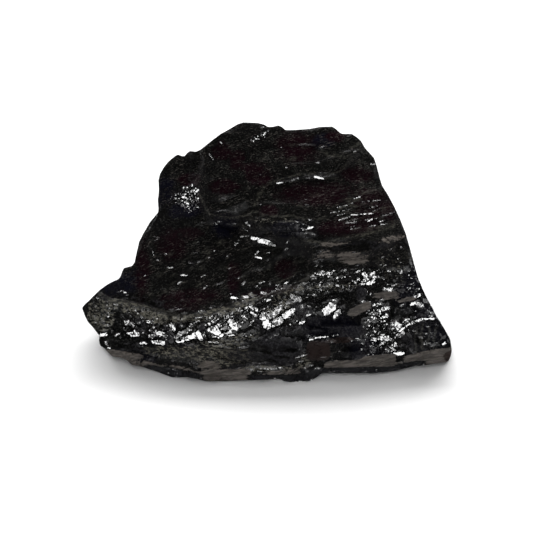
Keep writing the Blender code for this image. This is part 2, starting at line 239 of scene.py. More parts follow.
@dataclass(frozen=True)
class Outline:
    """The nugget's outline as the camera sees it.

    Attributes:
        loop: its corners in dots, clockwise from the left tip.
        kept: the share of the gap that a point outside the outline keeps.
        rim: how far a surface looks at the camera where it is all rim, and no longer rim.
        reach: how many dots inside the outline the rim's pull begins to fade, and ends.
        level: the heights below which points move level, and above which they move up the broad side.
    """

    loop: tuple[Point, ...]
    kept: float = 0.15
    rim: Span = (0.15, 0.55)
    reach: Span = (4.0, 9.0)
    level: Span = (1.5, 4.0)

    def gaps(self, seen: np.ndarray) -> tuple[np.ndarray, np.ndarray]:
        """Where points lie beside the outline.

        Args:
            seen: the points, in dots.

        Returns:
            The way from each point to the nearest place on the outline, and whether it lies inside.
        """
        way = np.zeros(seen.shape)
        nearest = np.full(len(seen), np.inf)
        inside = np.zeros(len(seen), bool)
        corners = np.array(self.loop, float)
        for start, end in zip(corners, np.roll(corners, -1, axis=0)):
            span = end - start
            offset = seen - start
            along = np.clip(offset @ span / (span @ span), 0.0, 1.0)
            here = np.outer(along, span) - offset
            away = np.hypot(*here.T)
            closer = away < nearest
            nearest[closer] = away[closer]
            way[closer] = here[closer]
            level = (start[1] > seen[:, 1]) != (end[1] > seen[:, 1])
            cross = start[0] + offset[:, 1] / (span[1] or 1e-9) * span[0]
            inside ^= level & (seen[:, 0] < cross)
        return way, inside

    def shift(self, points: np.ndarray, normals: np.ndarray) -> np.ndarray:
        """How far points move so that the rim follows the outline.

        Args:
            points: the surface.
            normals: the way it looks.

        Returns:
            One move for each point, level near the base.
        """
        seen, scale = VIEW.seen(points)
        way, inside = self.gaps(seen)
        away = np.hypot(*way.T)
        rim = 1.0 - smooth_step(np.abs(normals @ SIDE.outward), *self.rim)
        share = np.where(inside, rim * (1.0 - smooth_step(away, *self.reach)), 1.0 - self.kept)
        move = way / scale[:, None] * share[:, None]
        low = 1.0 - smooth_step(points[:, 2], *self.level)
        backward = np.array([0.0, 1.0 / SIDE.upward[1], 0.0])
        rise = np.outer(low, backward) + np.outer(1.0 - low, SIDE.upward)
        return np.outer(move[:, 0], [1.0, 0.0, 0.0]) - rise * move[:, 1:2]


OUTLINE = Outline(
    (
        (82, 308), (86, 303.5), (90, 300), (100, 290), (105, 286), (112, 282), (118, 279.5),
        (120, 278), (122, 272), (124, 268), (131, 267), (135, 265), (135.5, 258), (139, 242),
        (143, 234), (150, 222), (158.5, 212), (158, 200), (159, 190), (158.5, 180), (160, 174),
        (163, 169), (168, 162), (175, 156), (178, 154.5), (184, 157), (187, 153), (190, 151),
        (196, 152), (200, 150), (210, 142), (221, 134), (238, 124), (243, 122.5), (258, 123),
        (264, 124.5), (268, 127), (273, 127), (278, 125.5), (282, 127), (285, 130), (292, 130),
        (310, 129), (320, 127), (332, 126.5), (336, 129), (341, 134), (352, 134), (357, 137.5),
        (361, 141), (365, 148), (374, 158), (376, 164), (380, 179), (382, 186), (386, 192),
        (394, 206), (400, 219), (406, 234), (411, 252), (418, 278), (424, 292), (435, 314),
        (444, 329), (450, 340), (451.5, 350), (450.5, 356), (449, 360), (446, 362), (425, 365),
        (410, 367), (398, 370), (386, 372), (372, 373), (352, 373), (322, 373), (317, 377),
        (310, 380.5), (290, 382), (284, 381), (280, 379), (252, 380), (228, 381), (206, 381),
        (198, 379), (188, 377), (172, 377), (158, 372), (140, 366), (132, 365), (128, 361),
        (124, 358.5), (112, 356), (104, 347.5), (100, 345), (99, 340), (100, 336), (92, 326),
        (88, 322), (85, 316),
    )
)


@dataclass(frozen=True)
class Patch:
    """An oval stretch of the broad side.

    Attributes:
        centre: its middle.
        length: how long it is.
        width: how wide it is.
        turn: how far it rises to the right.
        edge: how soft its edge is, as a share of its half width.
        squareness: 2 for an oval, and more for squarer corners.
        strength: what it counts for at its middle.
    """

    centre: Point
    length: float
    width: float
    turn: float = 0.0
    edge: float = 0.35
    squareness: float = 2.0
    strength: float = 1.0

    def share(self, uv: np.ndarray) -> np.ndarray:
        """How far points lie in the patch.

        Args:
            uv: the points' places on the broad side.

        Returns:
            The patch's strength inside the oval and 0 outside, with a soft edge.
        """
        offset = uv - np.array(self.centre)
        along_axis, across_axis = turned(self.turn)
        along = np.abs(offset @ along_axis) / (self.length / 2)
        across = np.abs(offset @ across_axis) / (self.width / 2)
        reach = (along**self.squareness + across**self.squareness) ** (1.0 / self.squareness)
        return self.strength * (1.0 - smooth_step(reach, 1.0 - self.edge, 1.0 + self.edge))


def patches(*rows: tuple[float, ...]) -> tuple[Patch, ...]:
    """Patches from rows of u, v, length and width, with the further fields in order where they differ."""
    return tuple(Patch((u, v), *rest) for u, v, *rest in rows)


def cover(stretches: Sequence[Patch], uv: np.ndarray) -> np.ndarray:
    """How far points lie in any of several patches.

    Args:
        stretches: the patches.
        uv: the points' places on the broad side.

    Returns:
        The largest share that any patch gives each point.
    """
    total = np.zeros(len(uv))
    for patch in stretches:
        total = np.maximum(total, patch.share(uv))
    return total


def beside(path: np.ndarray, uv: np.ndarray) -> tuple[np.ndarray, np.ndarray]:
    """Where points lie beside a line.

    Args:
        path: the line's points.
        uv: the points to place.

    Returns:
        How far below the line each point is (negative above), and how far along it.
    """
    nearest = np.full(len(uv), np.inf)
    below = np.zeros(len(uv))
    run = np.zeros(len(uv))
    passed = 0.0
    for start, end in zip(path[:-1], path[1:]):
        length = float(np.hypot(*(end - start)))
        heading = (end - start) / length
        offset = uv - start
        along = np.clip(offset @ heading, 0.0, length)
        away = np.hypot(*(offset - np.outer(along, heading)).T)
        side = np.sign(heading[1] * offset[:, 0] - heading[0] * offset[:, 1])
        closer = away < nearest
        nearest[closer] = away[closer]
        below[closer] = (side * away)[closer]
        run[closer] = passed + along[closer]
        passed += length
    return below, run


def on_line(line: Sequence[Point], uv: np.ndarray, width: float) -> np.ndarray:
    """1 on a line, falling to 0 at half its width away from it."""
    below, _ = beside(np.array(line), uv)
    return 1.0 - smooth_step(np.abs(below), 0.2 * width, 0.5 * width)


@dataclass(frozen=True)
class Ledge:
    """A step along a line: the surface below it drops back, and comes up again further down.

    Attributes:
        line: where it runs.
        drop: how far the surface drops back.
        worn_sheen: how strongly its edge is worn and painted as a pale line that stands for a faint
            sheen, from 0 to 1.
        mark: how wide that pale edge is.
        lip: over what width the surface drops.
        fade: how far below the line it is up again.
        end: over what length it runs out at either end.
    """

    line: tuple[Point, ...]
    drop: float
    worn_sheen: float = 0.5
    mark: float = 0.9
    lip: float = 0.3
    fade: float = 2.5
    end: float = 1.5

    def shift(self, uv: np.ndarray) -> np.ndarray:
        """How the ledge moves the surface, along a wavy line and to an uneven depth.

        Args:
            uv: the points' places on the broad side.

        Returns:
            How far out each point goes.
        """
        path = np.array(self.line)
        below, run = beside(path, uv)
        place = np.column_stack([run, np.zeros(len(run)), np.zeros(len(run))])
        below = below + 0.15 * swell(place, 0.9, 41)
        profile = smooth_step(below, -self.lip / 2, self.lip / 2)
        profile *= 1.0 - smooth_step(below, self.lip, self.fade)
        uneven = 0.75 + 0.35 * swell(place, 2.2, 43)
        to_end = np.minimum(np.hypot(*(uv - path[0]).T), np.hypot(*(uv - path[-1]).T))
        return -self.drop * profile * uneven * smooth_step(to_end, 0.0, self.end)


class Facing(Enum):
    """What a small facet shows."""

    GLINT = "throws the key lamp's light to the camera"
    SHEEN = "looks a little off that"
    # A worn mark is roughened and painted as a pale line that stands for a faint sheen.
    WORN_SHEEN = "is a worn mark, and isn't cut"
    DARK = "is turned away, up or down"


GLINT, SHEEN, WORN_SHEEN, DARK = Facing


@dataclass(frozen=True)
class Flake:
    """A small, narrow facet on the broad side, from one point to another, cut in to a depth."""

    start: Point
    end: Point
    width: float
    facing: Facing = GLINT
    depth: float = 0.03


def flakes(*rows: tuple) -> tuple[Flake, ...]:
    """Flakes from rows of numbers.

    Args:
        rows: u and v at the start, u and v at the end, the width, and the facing and the depth, where
            they differ from a Flake's own.

    Returns:
        The flakes.
    """
    return tuple(Flake((row[0], row[1]), (row[2], row[3]), *row[4:]) for row in rows)


@dataclass(frozen=True)
class Scatter:
    """Many small flakes of like size and direction, spread at random over a patch.

    Attributes:
        patch: where they lie.
        count: how many there are.
        lengths: the shortest and the longest.
        widths: the narrowest and the widest.
        turn: how far they rise to the right.
        swing: how far each may differ from that turn.
        shares: the share of each facing, in the order of Facing.
        seed: which random numbers to draw.
    """

    patch: Patch
    count: int
    lengths: Span
    widths: Span
    turn: float
    swing: float
    shares: tuple[float, float, float, float]
    seed: int

    def flakes(self) -> list[Flake]:
        """Draw the flakes.

        Returns:
            The flakes, in the order in which they are cut.
        """
        random = np.random.default_rng(self.seed)
        kinds = tuple(Facing)
        angle = math.radians(self.patch.turn)
        made = []
        for _ in range(self.count):
            reach = math.sqrt(random.random()) * 0.5
            around = random.random() * 2.0 * math.pi
            along = reach * math.cos(around) * self.patch.length
            across = reach * math.sin(around) * self.patch.width
            u = self.patch.centre[0] + along * math.cos(angle) - across * math.sin(angle)
            v = self.patch.centre[1] + along * math.sin(angle) + across * math.cos(angle)
            length = random.uniform(*self.lengths)
            turn = math.radians(random.normal(self.turn, self.swing))
            half_u = math.cos(turn) * length / 2
            half_v = math.sin(turn) * length / 2
            kind = kinds[int(random.choice(len(kinds), p=self.shares))]
            width = random.uniform(*self.widths)
            made.append(Flake((u - half_u, v - half_v), (u + half_u, v + half_v), width, kind))
        return made


# Dark facets: along the upper left step, and among the bright ones.
DARK_FACETS = flakes(
    (-10.5, 26.0, -10.8, 24.4, 1.3, DARK, 0.02), (-10.8, 24.4, -11.0, 22.9, 1.3, DARK, 0.02),
    (-11.0, 22.9, -11.3, 21.7, 1.3, DARK, 0.02), (-14.2, -0.7, -14.0, -2.5, 0.9, DARK, 0.35),
    (-12.7, -0.5, -11.2, 0.6, 1.05, DARK, 0.35), (-8.8, -0.7, -8.4, -1.8, 0.6, DARK, 0.35),
    (19.0, 1.6, 20.8, 1.9, 1.36, DARK, 0.35), (11.2, -3.3, 13.4, -3.3, 1.2, DARK, 0.35),
    (6.7, 0.3, 13.1, 0.3, 1.66, DARK, 0.35), (2.6, -1.0, 4.9, -1.1, 1.51, DARK, 0.35),
    (-0.7, 13.7, 4.5, 14.2, 1.2, DARK, 0.35), (-20.6, -0.5, -19.7, -1.0, 0.6, DARK, 0.35),
    (-17.1, -0.9, -16.5, -0.5, 0.6, DARK, 0.35), (-6.5, -1.1, -5.8, -0.9, 0.45, DARK, 0.35),
)

# The left tip.
LEFT_TIP = flakes(
    (-24.6, -1.8, -23.8, -1.5, 0.53, GLINT), (-24.0, -2.7, -23.5, -3.2, 0.3, SHEEN),
    (-25.4, 0.2, -24.7, 0.4, 0.3, SHEEN), (-23.5, -3.6, -23.2, -3.6, 0.3, GLINT),
    (-25.2, 3.8, -24.8, 3.8, 0.23, SHEEN), (-21.1, 4.7, -20.6, 4.6, 0.23, SHEEN),
)

# The bright band along the front, from left to right.
LEFT_BAND = flakes(
    (-20.7, 0.3, -19.8, -0.1, 0.81, GLINT), (-20.3, -1.6, -19.1, -1.5, 0.81, GLINT),
    (-19.4, -0.9, -19.1, -1.6, 0.51, GLINT), (-18.5, -2.9, -17.9, -2.8, 0.61, GLINT),
    (-17.6, 0.3, -16.8, 0.5, 0.51, GLINT), (-17.3, -2.0, -15.9, -1.6, 0.81, SHEEN),
    (-15.9, -1.3, -14.9, -1.7, 0.81, SHEEN), (-16.7, -2.6, -15.2, -2.8, 0.72, GLINT),
    (-14.2, 0.0, -13.6, -0.7, 0.72, GLINT), (-19.4, 2.1, -18.8, 1.5, 0.41, SHEEN),
    (-18.6, 1.2, -17.9, 0.8, 0.41, SHEEN), (-22.5, 2.8, -22.1, 2.9, 0.41, SHEEN),
    (-22.3, -1.7, -21.8, -1.5, 0.41, SHEEN),
)

MIDDLE_BAND = flakes(
    (-13.4, -1.9, -11.5, -0.8, 0.81, SHEEN), (-13.1, -2.6, -11.5, -2.3, 0.51, GLINT),
    (-11.7, -2.2, -10.2, -1.4, 0.85, GLINT), (-10.0, -1.3, -9.6, -2.0, 0.85, GLINT),
    (-11.1, -0.2, -9.9, 0.4, 0.61, SHEEN), (-10.5, 0.9, -9.1, 1.2, 0.32, GLINT),
    (-9.1, 1.2, -7.5, 0.9, 0.32, SHEEN), (-9.0, 0.1, -8.4, 0.1, 0.51, GLINT),
    (-8.3, -0.7, -6.9, -0.2, 0.81, GLINT), (-7.8, -0.8, -7.1, -1.2, 1.01, GLINT),
    (-6.4, -0.7, -4.9, -0.2, 0.81, SHEEN), (-5.3, 0.4, -4.5, -0.5, 1.01, GLINT),
    (-7.1, -2.0, -6.4, -1.5, 0.51, GLINT), (-5.6, -1.7, -4.3, -1.4, 0.32, GLINT),
    (-8.3, -2.1, -7.4, -1.8, 0.36, GLINT), (-8.4, -2.6, -7.1, -2.6, 0.32, SHEEN),
    (-3.9, -1.7, -3.1, -1.4, 0.36, SHEEN), (-5.9, 1.0, -5.0, 1.2, 0.36, SHEEN),
)

CENTRE = flakes(
    (-5.4, 4.5, -5.1, 4.5, 0.2, SHEEN), (-5.1, 3.95, -4.3, 3.8, 0.4, GLINT),
    (-3.3, 4.0, -2.7, 4.0, 0.51, SHEEN), (-3.1, 2.3, -2.4, 2.6, 0.61, GLINT),
    (-2.4, 2.7, -1.4, 2.1, 0.65, GLINT), (-2.3, 1.7, -1.4, 1.2, 0.51, GLINT),
    (-4.0, 2.3, -3.6, 1.8, 0.51, SHEEN), (-0.7, 4.6, -0.1, 4.5, 0.51, GLINT),
    (-0.2, 3.6, 0.5, 3.6, 0.41, GLINT), (1.5, 5.3, 2.1, 5.2, 0.41, SHEEN),
    (3.6, 4.2, 4.8, 3.6, 0.81, SHEEN), (1.4, 2.3, 2.3, 2.7, 0.51, GLINT),
    (-0.4, 1.2, 0.2, -0.1, 1.42, GLINT), (0.4, 1.1, 2.1, 2.1, 1.01, SHEEN),
    (1.2, 0.3, 3.7, 1.7, 0.92, SHEEN), (2.7, 1.2, 3.9, 2.1, 0.92, GLINT),
    (8.7, 1.9, 9.6, 2.6, 1.3, GLINT, 0.1), (10.0, 1.1, 10.7, 1.9, 0.7, GLINT, 0.1),
    (4.9, 0.2, 5.5, 0.3, 0.51, GLINT), (5.9, 1.4, 6.4, 1.4, 0.41, SHEEN),
    (6.1, 2.7, 6.5, 2.4, 0.32, SHEEN),
)

RIGHT_BAND = flakes(
    (7.6, 7.5, 9.5, 7.5, 0.53, SHEEN), (10.8, 6.6, 11.6, 6.9, 0.41, GLINT),
    (10.2, 5.8, 10.8, 5.6, 0.41, SHEEN), (14.3, 7.4, 14.9, 6.6, 0.72, GLINT),
    (13.5, 5.9, 14.5, 5.9, 0.41, GLINT), (14.9, 5.9, 15.8, 6.4, 0.61, GLINT),
    (12.5, 6.4, 13.1, 6.2, 0.41, SHEEN), (17.1, 2.2, 18.0, 2.4, 0.61, GLINT),
    (15.0, 1.5, 16.4, 1.7, 0.51, SHEEN), (14.9, 0.6, 16.4, 0.3, 0.61, SHEEN),
    (15.5, -2.3, 17.9, -2.0, 0.81, GLINT), (16.4, -3.1, 17.3, -2.6, 0.41, SHEEN),
    (18.9, -4.2, 20.1, -4.4, 0.61, GLINT), (18.0, -3.2, 19.0, -3.9, 0.41, SHEEN),
    (23.6, -2.9, 24.1, -2.8, 0.41, SHEEN), (25.9, -2.9, 26.3, -2.8, 0.4, GLINT),
    (12.0, -2.0, 12.7, -2.5, 0.41, SHEEN), (21.3, 2.9, 22.5, 3.4, 0.51, GLINT),
    (21.7, 3.8, 22.6, 4.3, 0.61, GLINT), (22.2, 5.2, 22.6, 5.2, 0.41, SHEEN),
    (18.3, 5.6, 19.2, 5.9, 0.36, SHEEN), (19.7, 2.8, 20.4, 2.7, 0.41, SHEEN),
    (16.7, 3.6, 17.7, 3.7, 0.32, SHEEN),
)

# The two thin bright curves at the right of the front.
CURVES = flakes(
    (6.2, -2.3, 7.4, -1.95, 0.24, GLINT, 0.08), (7.2, -2.0, 8.9, -1.75, 0.3, GLINT, 0.08),
    (8.8, -1.8, 10.6, -1.6, 0.2, GLINT, 0.08), (18.9, -1.9, 19.6, -1.0, 0.28, GLINT, 0.1),
    (19.5, -1.1, 20.6, -0.2, 0.34, GLINT, 0.1), (20.5, -0.25, 21.6, 0.3, 0.42, GLINT, 0.12),
    (21.5, 0.3, 23.0, 0.75, 0.56, GLINT, 0.15), (22.9, 0.75, 24.6, 0.85, 0.36, GLINT, 0.12),
)

# Low on the front.
LOW = flakes(
    (4.3, -4.9, 6.1, -4.4, 0.3, SHEEN), (4.6, -5.5, 5.5, -5.4, 0.24, SHEEN),
    (8.0, -4.9, 8.7, -4.8, 0.3, GLINT), (1.7, -6.3, 2.3, -6.4, 0.3, SHEEN),
    (-1.7, -6.1, -1.2, -6.2, 0.24, SHEEN),
)

# The broad face below the riser.
MID_FACE = flakes(
    (-16.1, 6.9, -14.6, 8.1, 0.24, WORN_SHEEN), (-14.6, 8.3, -13.9, 8.3, 0.27, SHEEN),
    (-12.8, 7.2, -11.8, 7.2, 0.27, GLINT), (-11.9, 7.5, -9.9, 9.1, 0.21, WORN_SHEEN),
    (-9.9, 9.1, -8.4, 10.0, 0.21, WORN_SHEEN), (-8.7, 9.7, -8.2, 9.9, 0.27, SHEEN),
    (-8.4, 10.0, -6.3, 10.9, 0.18, WORN_SHEEN), (-14.7, 5.3, -13.5, 6.3, 0.24, WORN_SHEEN),
    (-13.1, 5.9, -12.6, 6.3, 0.3, SHEEN), (-11.5, 9.1, -11.0, 8.9, 0.3, SHEEN),
    (-11.1, 10.6, -10.2, 10.6, 0.24, SHEEN), (-8.1, 10.8, -7.7, 10.8, 0.21, SHEEN),
    (-9.8, 6.8, -9.1, 7.2, 0.24, SHEEN), (-1.6, 9.9, -0.8, 9.7, 0.36, GLINT),
    (-6.0, 8.3, -4.5, 8.3, 0.23, WORN_SHEEN), (0.2, 8.0, 0.5, 8.7, 0.23, WORN_SHEEN),
    (1.5, 6.1, 3.5, 6.9, 0.23, WORN_SHEEN), (3.5, 6.9, 4.8, 7.8, 0.23, WORN_SHEEN),
    (-2.4, 6.1, -0.7, 6.3, 0.23, WORN_SHEEN), (-17.1, 11.1, -16.8, 10.2, 0.27, SHEEN),
    (-7.1, 12.3, -6.6, 11.7, 0.24, WORN_SHEEN),
)

# The riser.
RISER = flakes(
    (-2.2, 12.7, -0.9, 12.5, 0.5, GLINT), (-1.0, 12.3, 0.7, 11.9, 0.8, GLINT),
    (0.6, 11.8, 1.2, 11.6, 0.5, SHEEN), (5.4, 13.9, 6.2, 14.0, 0.36, SHEEN),
    (6.1, 14.1, 6.9, 14.3, 0.32, GLINT), (6.3, 15.4, 6.9, 15.5, 0.24, SHEEN),
    (2.0, 15.1, 4.4, 15.1, 0.23, WORN_SHEEN), (-3.1, 15.1, -2.5, 14.5, 0.3, SHEEN),
    (-3.9, 12.9, -2.6, 13.0, 0.24, SHEEN),
)

# The bright cluster at the upper left.
CLUSTER = flakes(
    (-13.8, 18.2, -13.5, 18.2, 0.38, SHEEN), (-12.8, 19.0, -11.8, 18.7, 0.45, GLINT),
    (-12.4, 18.1, -11.7, 17.9, 0.36, GLINT), (-11.7, 17.1, -11.2, 16.7, 0.33, GLINT),
    (-10.8, 17.4, -10.3, 17.4, 0.3, SHEEN), (-10.8, 19.5, -10.3, 20.0, 0.36, GLINT),
    (-12.3, 17.4, -12.0, 17.3, 0.3, GLINT), (-13.4, 18.5, -12.9, 18.1, 0.3, SHEEN),
    (-11.4, 18.3, -10.9, 18.0, 0.3, SHEEN), (-11.1, 18.8, -10.6, 18.9, 0.3, SHEEN),
)

# The upper face: its top, its stripes and its right corner.
TOP = flakes(
    (-1.7, 27.9, -1.4, 27.95, 0.26, GLINT), (-0.5, 28.6, -0.2, 28.9, 0.36, GLINT),
    (-0.8, 29.8, -0.4, 29.8, 0.24, SHEEN), (-8.6, 25.5, -8.1, 24.7, 0.3, SHEEN),
    (-7.1, 27.4, -6.8, 27.2, 0.24, SHEEN), (1.6, 21.0, 3.1, 21.2, 0.3, GLINT),
    (2.9, 21.3, 4.9, 21.8, 0.23, SHEEN), (7.3, 22.0, 8.5, 21.7, 0.45, GLINT),
    (8.5, 21.8, 10.6, 21.8, 0.24, WORN_SHEEN), (4.0, 22.1, 5.2, 22.2, 0.21, WORN_SHEEN),
    (-0.5, 20.4, 0.1, 20.7, 0.27, WORN_SHEEN), (-1.4, 19.2, -0.2, 20.4, 0.23, WORN_SHEEN),
)

STRIPES = flakes(
    (12.5, 16.1, 16.0, 16.4, 0.23, GLINT), (15.7, 16.7, 17.1, 17.1, 0.2, SHEEN),
    (13.9, 18.1, 17.1, 18.4, 0.2, SHEEN), (10.9, 17.2, 13.7, 18.4, 0.2, WORN_SHEEN),
    (12.8, 15.2, 13.4, 15.2, 0.23, SHEEN), (14.9, 15.1, 15.7, 15.5, 0.27, GLINT),
    (12.6, 13.9, 14.1, 14.3, 0.21, WORN_SHEEN), (14.1, 13.3, 19.1, 15.1, 0.21, WORN_SHEEN),
    (13.2, 19.2, 16.3, 20.0, 0.18, WORN_SHEEN),
)

CORNER = flakes(
    (8.1, 26.3, 9.6, 25.2, 0.24, WORN_SHEEN), (9.6, 25.2, 11.9, 24.9, 0.24, WORN_SHEEN),
    (11.9, 25.0, 13.1, 25.7, 0.23, WORN_SHEEN), (12.9, 25.7, 14.1, 26.2, 0.27, SHEEN),
    (8.1, 26.5, 8.7, 26.8, 0.24, SHEEN), (11.7, 23.2, 12.6, 24.6, 0.23, WORN_SHEEN),
    (15.8, 24.0, 16.5, 24.0, 0.3, SHEEN), (12.7, 26.5, 14.4, 27.3, 0.24, WORN_SHEEN),
    (-1.3, 24.6, 0.7, 24.9, 0.27, WORN_SHEEN), (3.3, 26.8, 4.8, 27.0, 0.21, WORN_SHEEN),
    (6.8, 19.0, 7.9, 19.3, 0.21, WORN_SHEEN),
)

# The order in which they are cut.
NAMED_FLAKES = (
    *DARK_FACETS, *LEFT_TIP, *LEFT_BAND, *MIDDLE_BAND, *CENTRE, *RIGHT_BAND, *CURVES, *LOW, *MID_FACE,
    *RISER, *CLUSTER, *TOP, *STRIPES, *CORNER,
)

# Grey-brown satin patches; along the bottom they carry the painted reflection of the table.
SATIN_AND_TABLE_REFLECTION = patches(
    (12.7, 9.7, 5.4, 2.1, -3.0, 0.5, 3.5, 0.6), (8.6, 10.2, 4.4, 1.8, 0.0, 0.8, 3.0, 0.52),
    (10.0, 11.9, 6.0, 1.3, 4.0, 0.8, 3.0, 0.5), (18.6, 12.6, 4.4, 1.2, 14.0, 0.6, 3.0, 0.6),
    (18.3, 4.1, 3.8, 1.3, 6.0, 0.5, 4.0, 0.6), (13.6, 2.2, 3.8, 1.3, 26.0, 0.25, 3.0, 0.9),
    (17.4, 4.4, 3.8, 1.0, 6.0, 0.6, 3.0, 0.7), (20.6, 3.6, 3.4, 0.7, 12.0, 0.6, 3.0, 0.7),
    (11.6, -6.0, 6.2, 1.4, 2.0, 0.2, 6.0), (16.6, -5.5, 5.0, 2.0, 6.0, 0.25, 6.0),
    (24.4, -4.7, 8.4, 1.7, 10.0, 0.3, 5.0), (-8.6, -5.9, 3.6, 1.2, -5.0, 0.3, 4.0, 0.7),
    (-6.0, -7.6, 7.6, 2.2, 1.0, 0.3, 6.0, 0.8), (-21.2, -4.8, 6.0, 1.4, -8.0, 0.25, 4.0, 1.3),
    (-17.4, -6.0, 4.4, 1.0, -14.0, 0.3, 4.0),
)

# The brown chip, and two smaller ones.
UMBER = patches(
    (7.6, -3.9, 3.5, 2.9, 4.0, 0.4, 3.5), (10.9, -2.3, 4.0, 0.8, 3.0, 0.3),
    (27.4, -4.7, 2.4, 1.8, 9.0, 0.5),
)

# The foot: painted shade along the contact with the table.
FOOT_SHADE_PATCHES = patches(
    (-13.9, -7.2, 8.6, 1.3, -9.0, 0.25, 5.0), (12.6, -7.0, 14.5, 1.3, 1.0, 0.25, 8.0),
    (3.2, -8.3, 11.4, 1.7, 0.0, 0.2, 6.0), (20.6, -6.3, 5.6, 1.0, 12.0, 0.3, 4.0),
)

# Faint maroon stains.
MAROON = patches(
    (-6.8, 26.0, 3.0, 3.0), (4.6, 26.6, 6.5, 5.0, 0.0, 0.6), (-4.4, 24.6, 2.6, 3.4),
    (-1.4, 22.4, 4.6, 3.6, -30.0), (-6.4, 20.4, 4.6, 2.4), (10.4, 28.3, 3.0, 2.0),
    (13.6, 22.2, 5.4, 2.8, -10.0, 0.6), (7.6, 19.4, 12.0, 3.8, 0.0, 0.5),
    (16.6, 17.6, 8.0, 5.0, -20.0, 0.6), (12.6, 14.6, 11.0, 3.0, 8.0, 0.5),
    (-14.0, 11.8, 4.6, 5.2, 0.0, 0.6), (-11.2, 13.4, 3.4, 2.0), (-18.4, 7.8, 2.2, 8.6, 0.0, 0.6),
    (-4.8, 6.8, 2.2, 5.0), (-11.0, 4.0, 9.0, 2.4, 4.0, 0.5), (-12.6, 2.6, 6.0, 1.6, -5.0),
    (2.8, 8.2, 3.6, 3.0), (0.6, 4.8, 9.0, 1.4, 10.0), (-11.6, 21.6, 3.8, 2.2), (0.4, 16.8, 3.0, 1.8),
)

# Faint blue stains.
BLUE = patches(
    (-15.4, 20.0, 3.6, 4.6, 0.0, 0.6), (-12.4, 16.9, 5.4, 2.6), (-6.2, 14.6, 4.0, 4.0, 0.0, 0.6),
    (3.0, 14.0, 5.4, 2.6), (-21.4, 5.8, 7.0, 3.4, 20.0, 0.6), (9.0, -0.6, 10.0, 4.4),
    (21.0, 5.4, 4.0, 7.0, -20.0, 0.6), (14.4, -3.6, 5.0, 3.4), (-17.6, -5.0, 3.4, 2.2),
    (24.6, 0.0, 4.4, 7.0, 20.0, 0.6), (8.6, 27.6, 3.4, 2.6),
)

# Where tiny facets glitter.
GLITTER = patches(
    (16.6, -0.8, 4.2, 6.8, 0.0, 0.5), (10.6, 6.4, 9.0, 3.4, 6.0, 0.5, 2.0, 0.6),
    (-19.2, 0.6, 12.0, 4.6, -12.0, 0.5), (-9.6, 0.6, 9.0, 3.0, 10.0, 0.5),
    (-1.0, 2.6, 8.0, 3.4, 25.0, 0.5), (-12.2, 18.3, 4.2, 4.0), (21.8, 4.6, 4.0, 3.0),
)

# Where olive dust lies.
DUSTY = patches(
    (18.4, 8.4, 8.0, 5.0, -65.0, 1.0, 2.0, 0.55), (-19.8, 2.3, 9.0, 2.0, -14.0),
    (-15.6, 0.8, 8.0, 1.5, -9.0, 0.3, 2.0, 1.7), (-10.4, 0.9, 6.0, 1.2, 4.0, 0.3, 2.0, 1.6),
    (-6.8, 1.8, 8.0, 1.5, 8.0), (-3.0, 3.2, 4.0, 2.4, 30.0), (-24.6, 1.2, 4.5, 5.0),
    (0.4, 15.4, 8.0, 1.2, -3.0, 1.0, 2.0, 0.7), (-12.0, -4.2, 15.0, 2.2, -4.0), (-6.0, -4.4, 8.4, 3.6),
    (0.0, -6.5, 8.0, 1.1), (5.6, -5.6, 3.2, 2.6, 30.0, 0.6), (9.5, 5.4, 12.0, 1.4, 6.0, 0.6, 2.0, 0.7),
    (3.6, 4.6, 6.0, 1.4, 25.0, 0.6), (-6.0, -2.4, 12.0, 1.6, 10.0), (1.5, 1.8, 6.0, 2.4, 30.0),
)

# Where facets throw the key lamp's light.
BRIGHT = patches(
    (-16.6, -2.3, 3.4, 2.2, 8.0), (-11.8, -1.9, 4.6, 2.2, 24.0), (-8.1, -1.0, 1.8, 2.0),
    (-5.5, -0.5, 3.0, 1.8, 20.0), (-2.7, 1.9, 2.2, 1.6, -10.0), (0.1, 0.4, 1.8, 2.6, 10.0),
    (2.6, 0.9, 3.6, 1.5, 32.0), (17.7, -2.6, 2.0, 1.4, 15.0), (15.5, 7.0, 1.2, 1.6),
    (-20.4, -1.6, 2.4, 1.6),
)

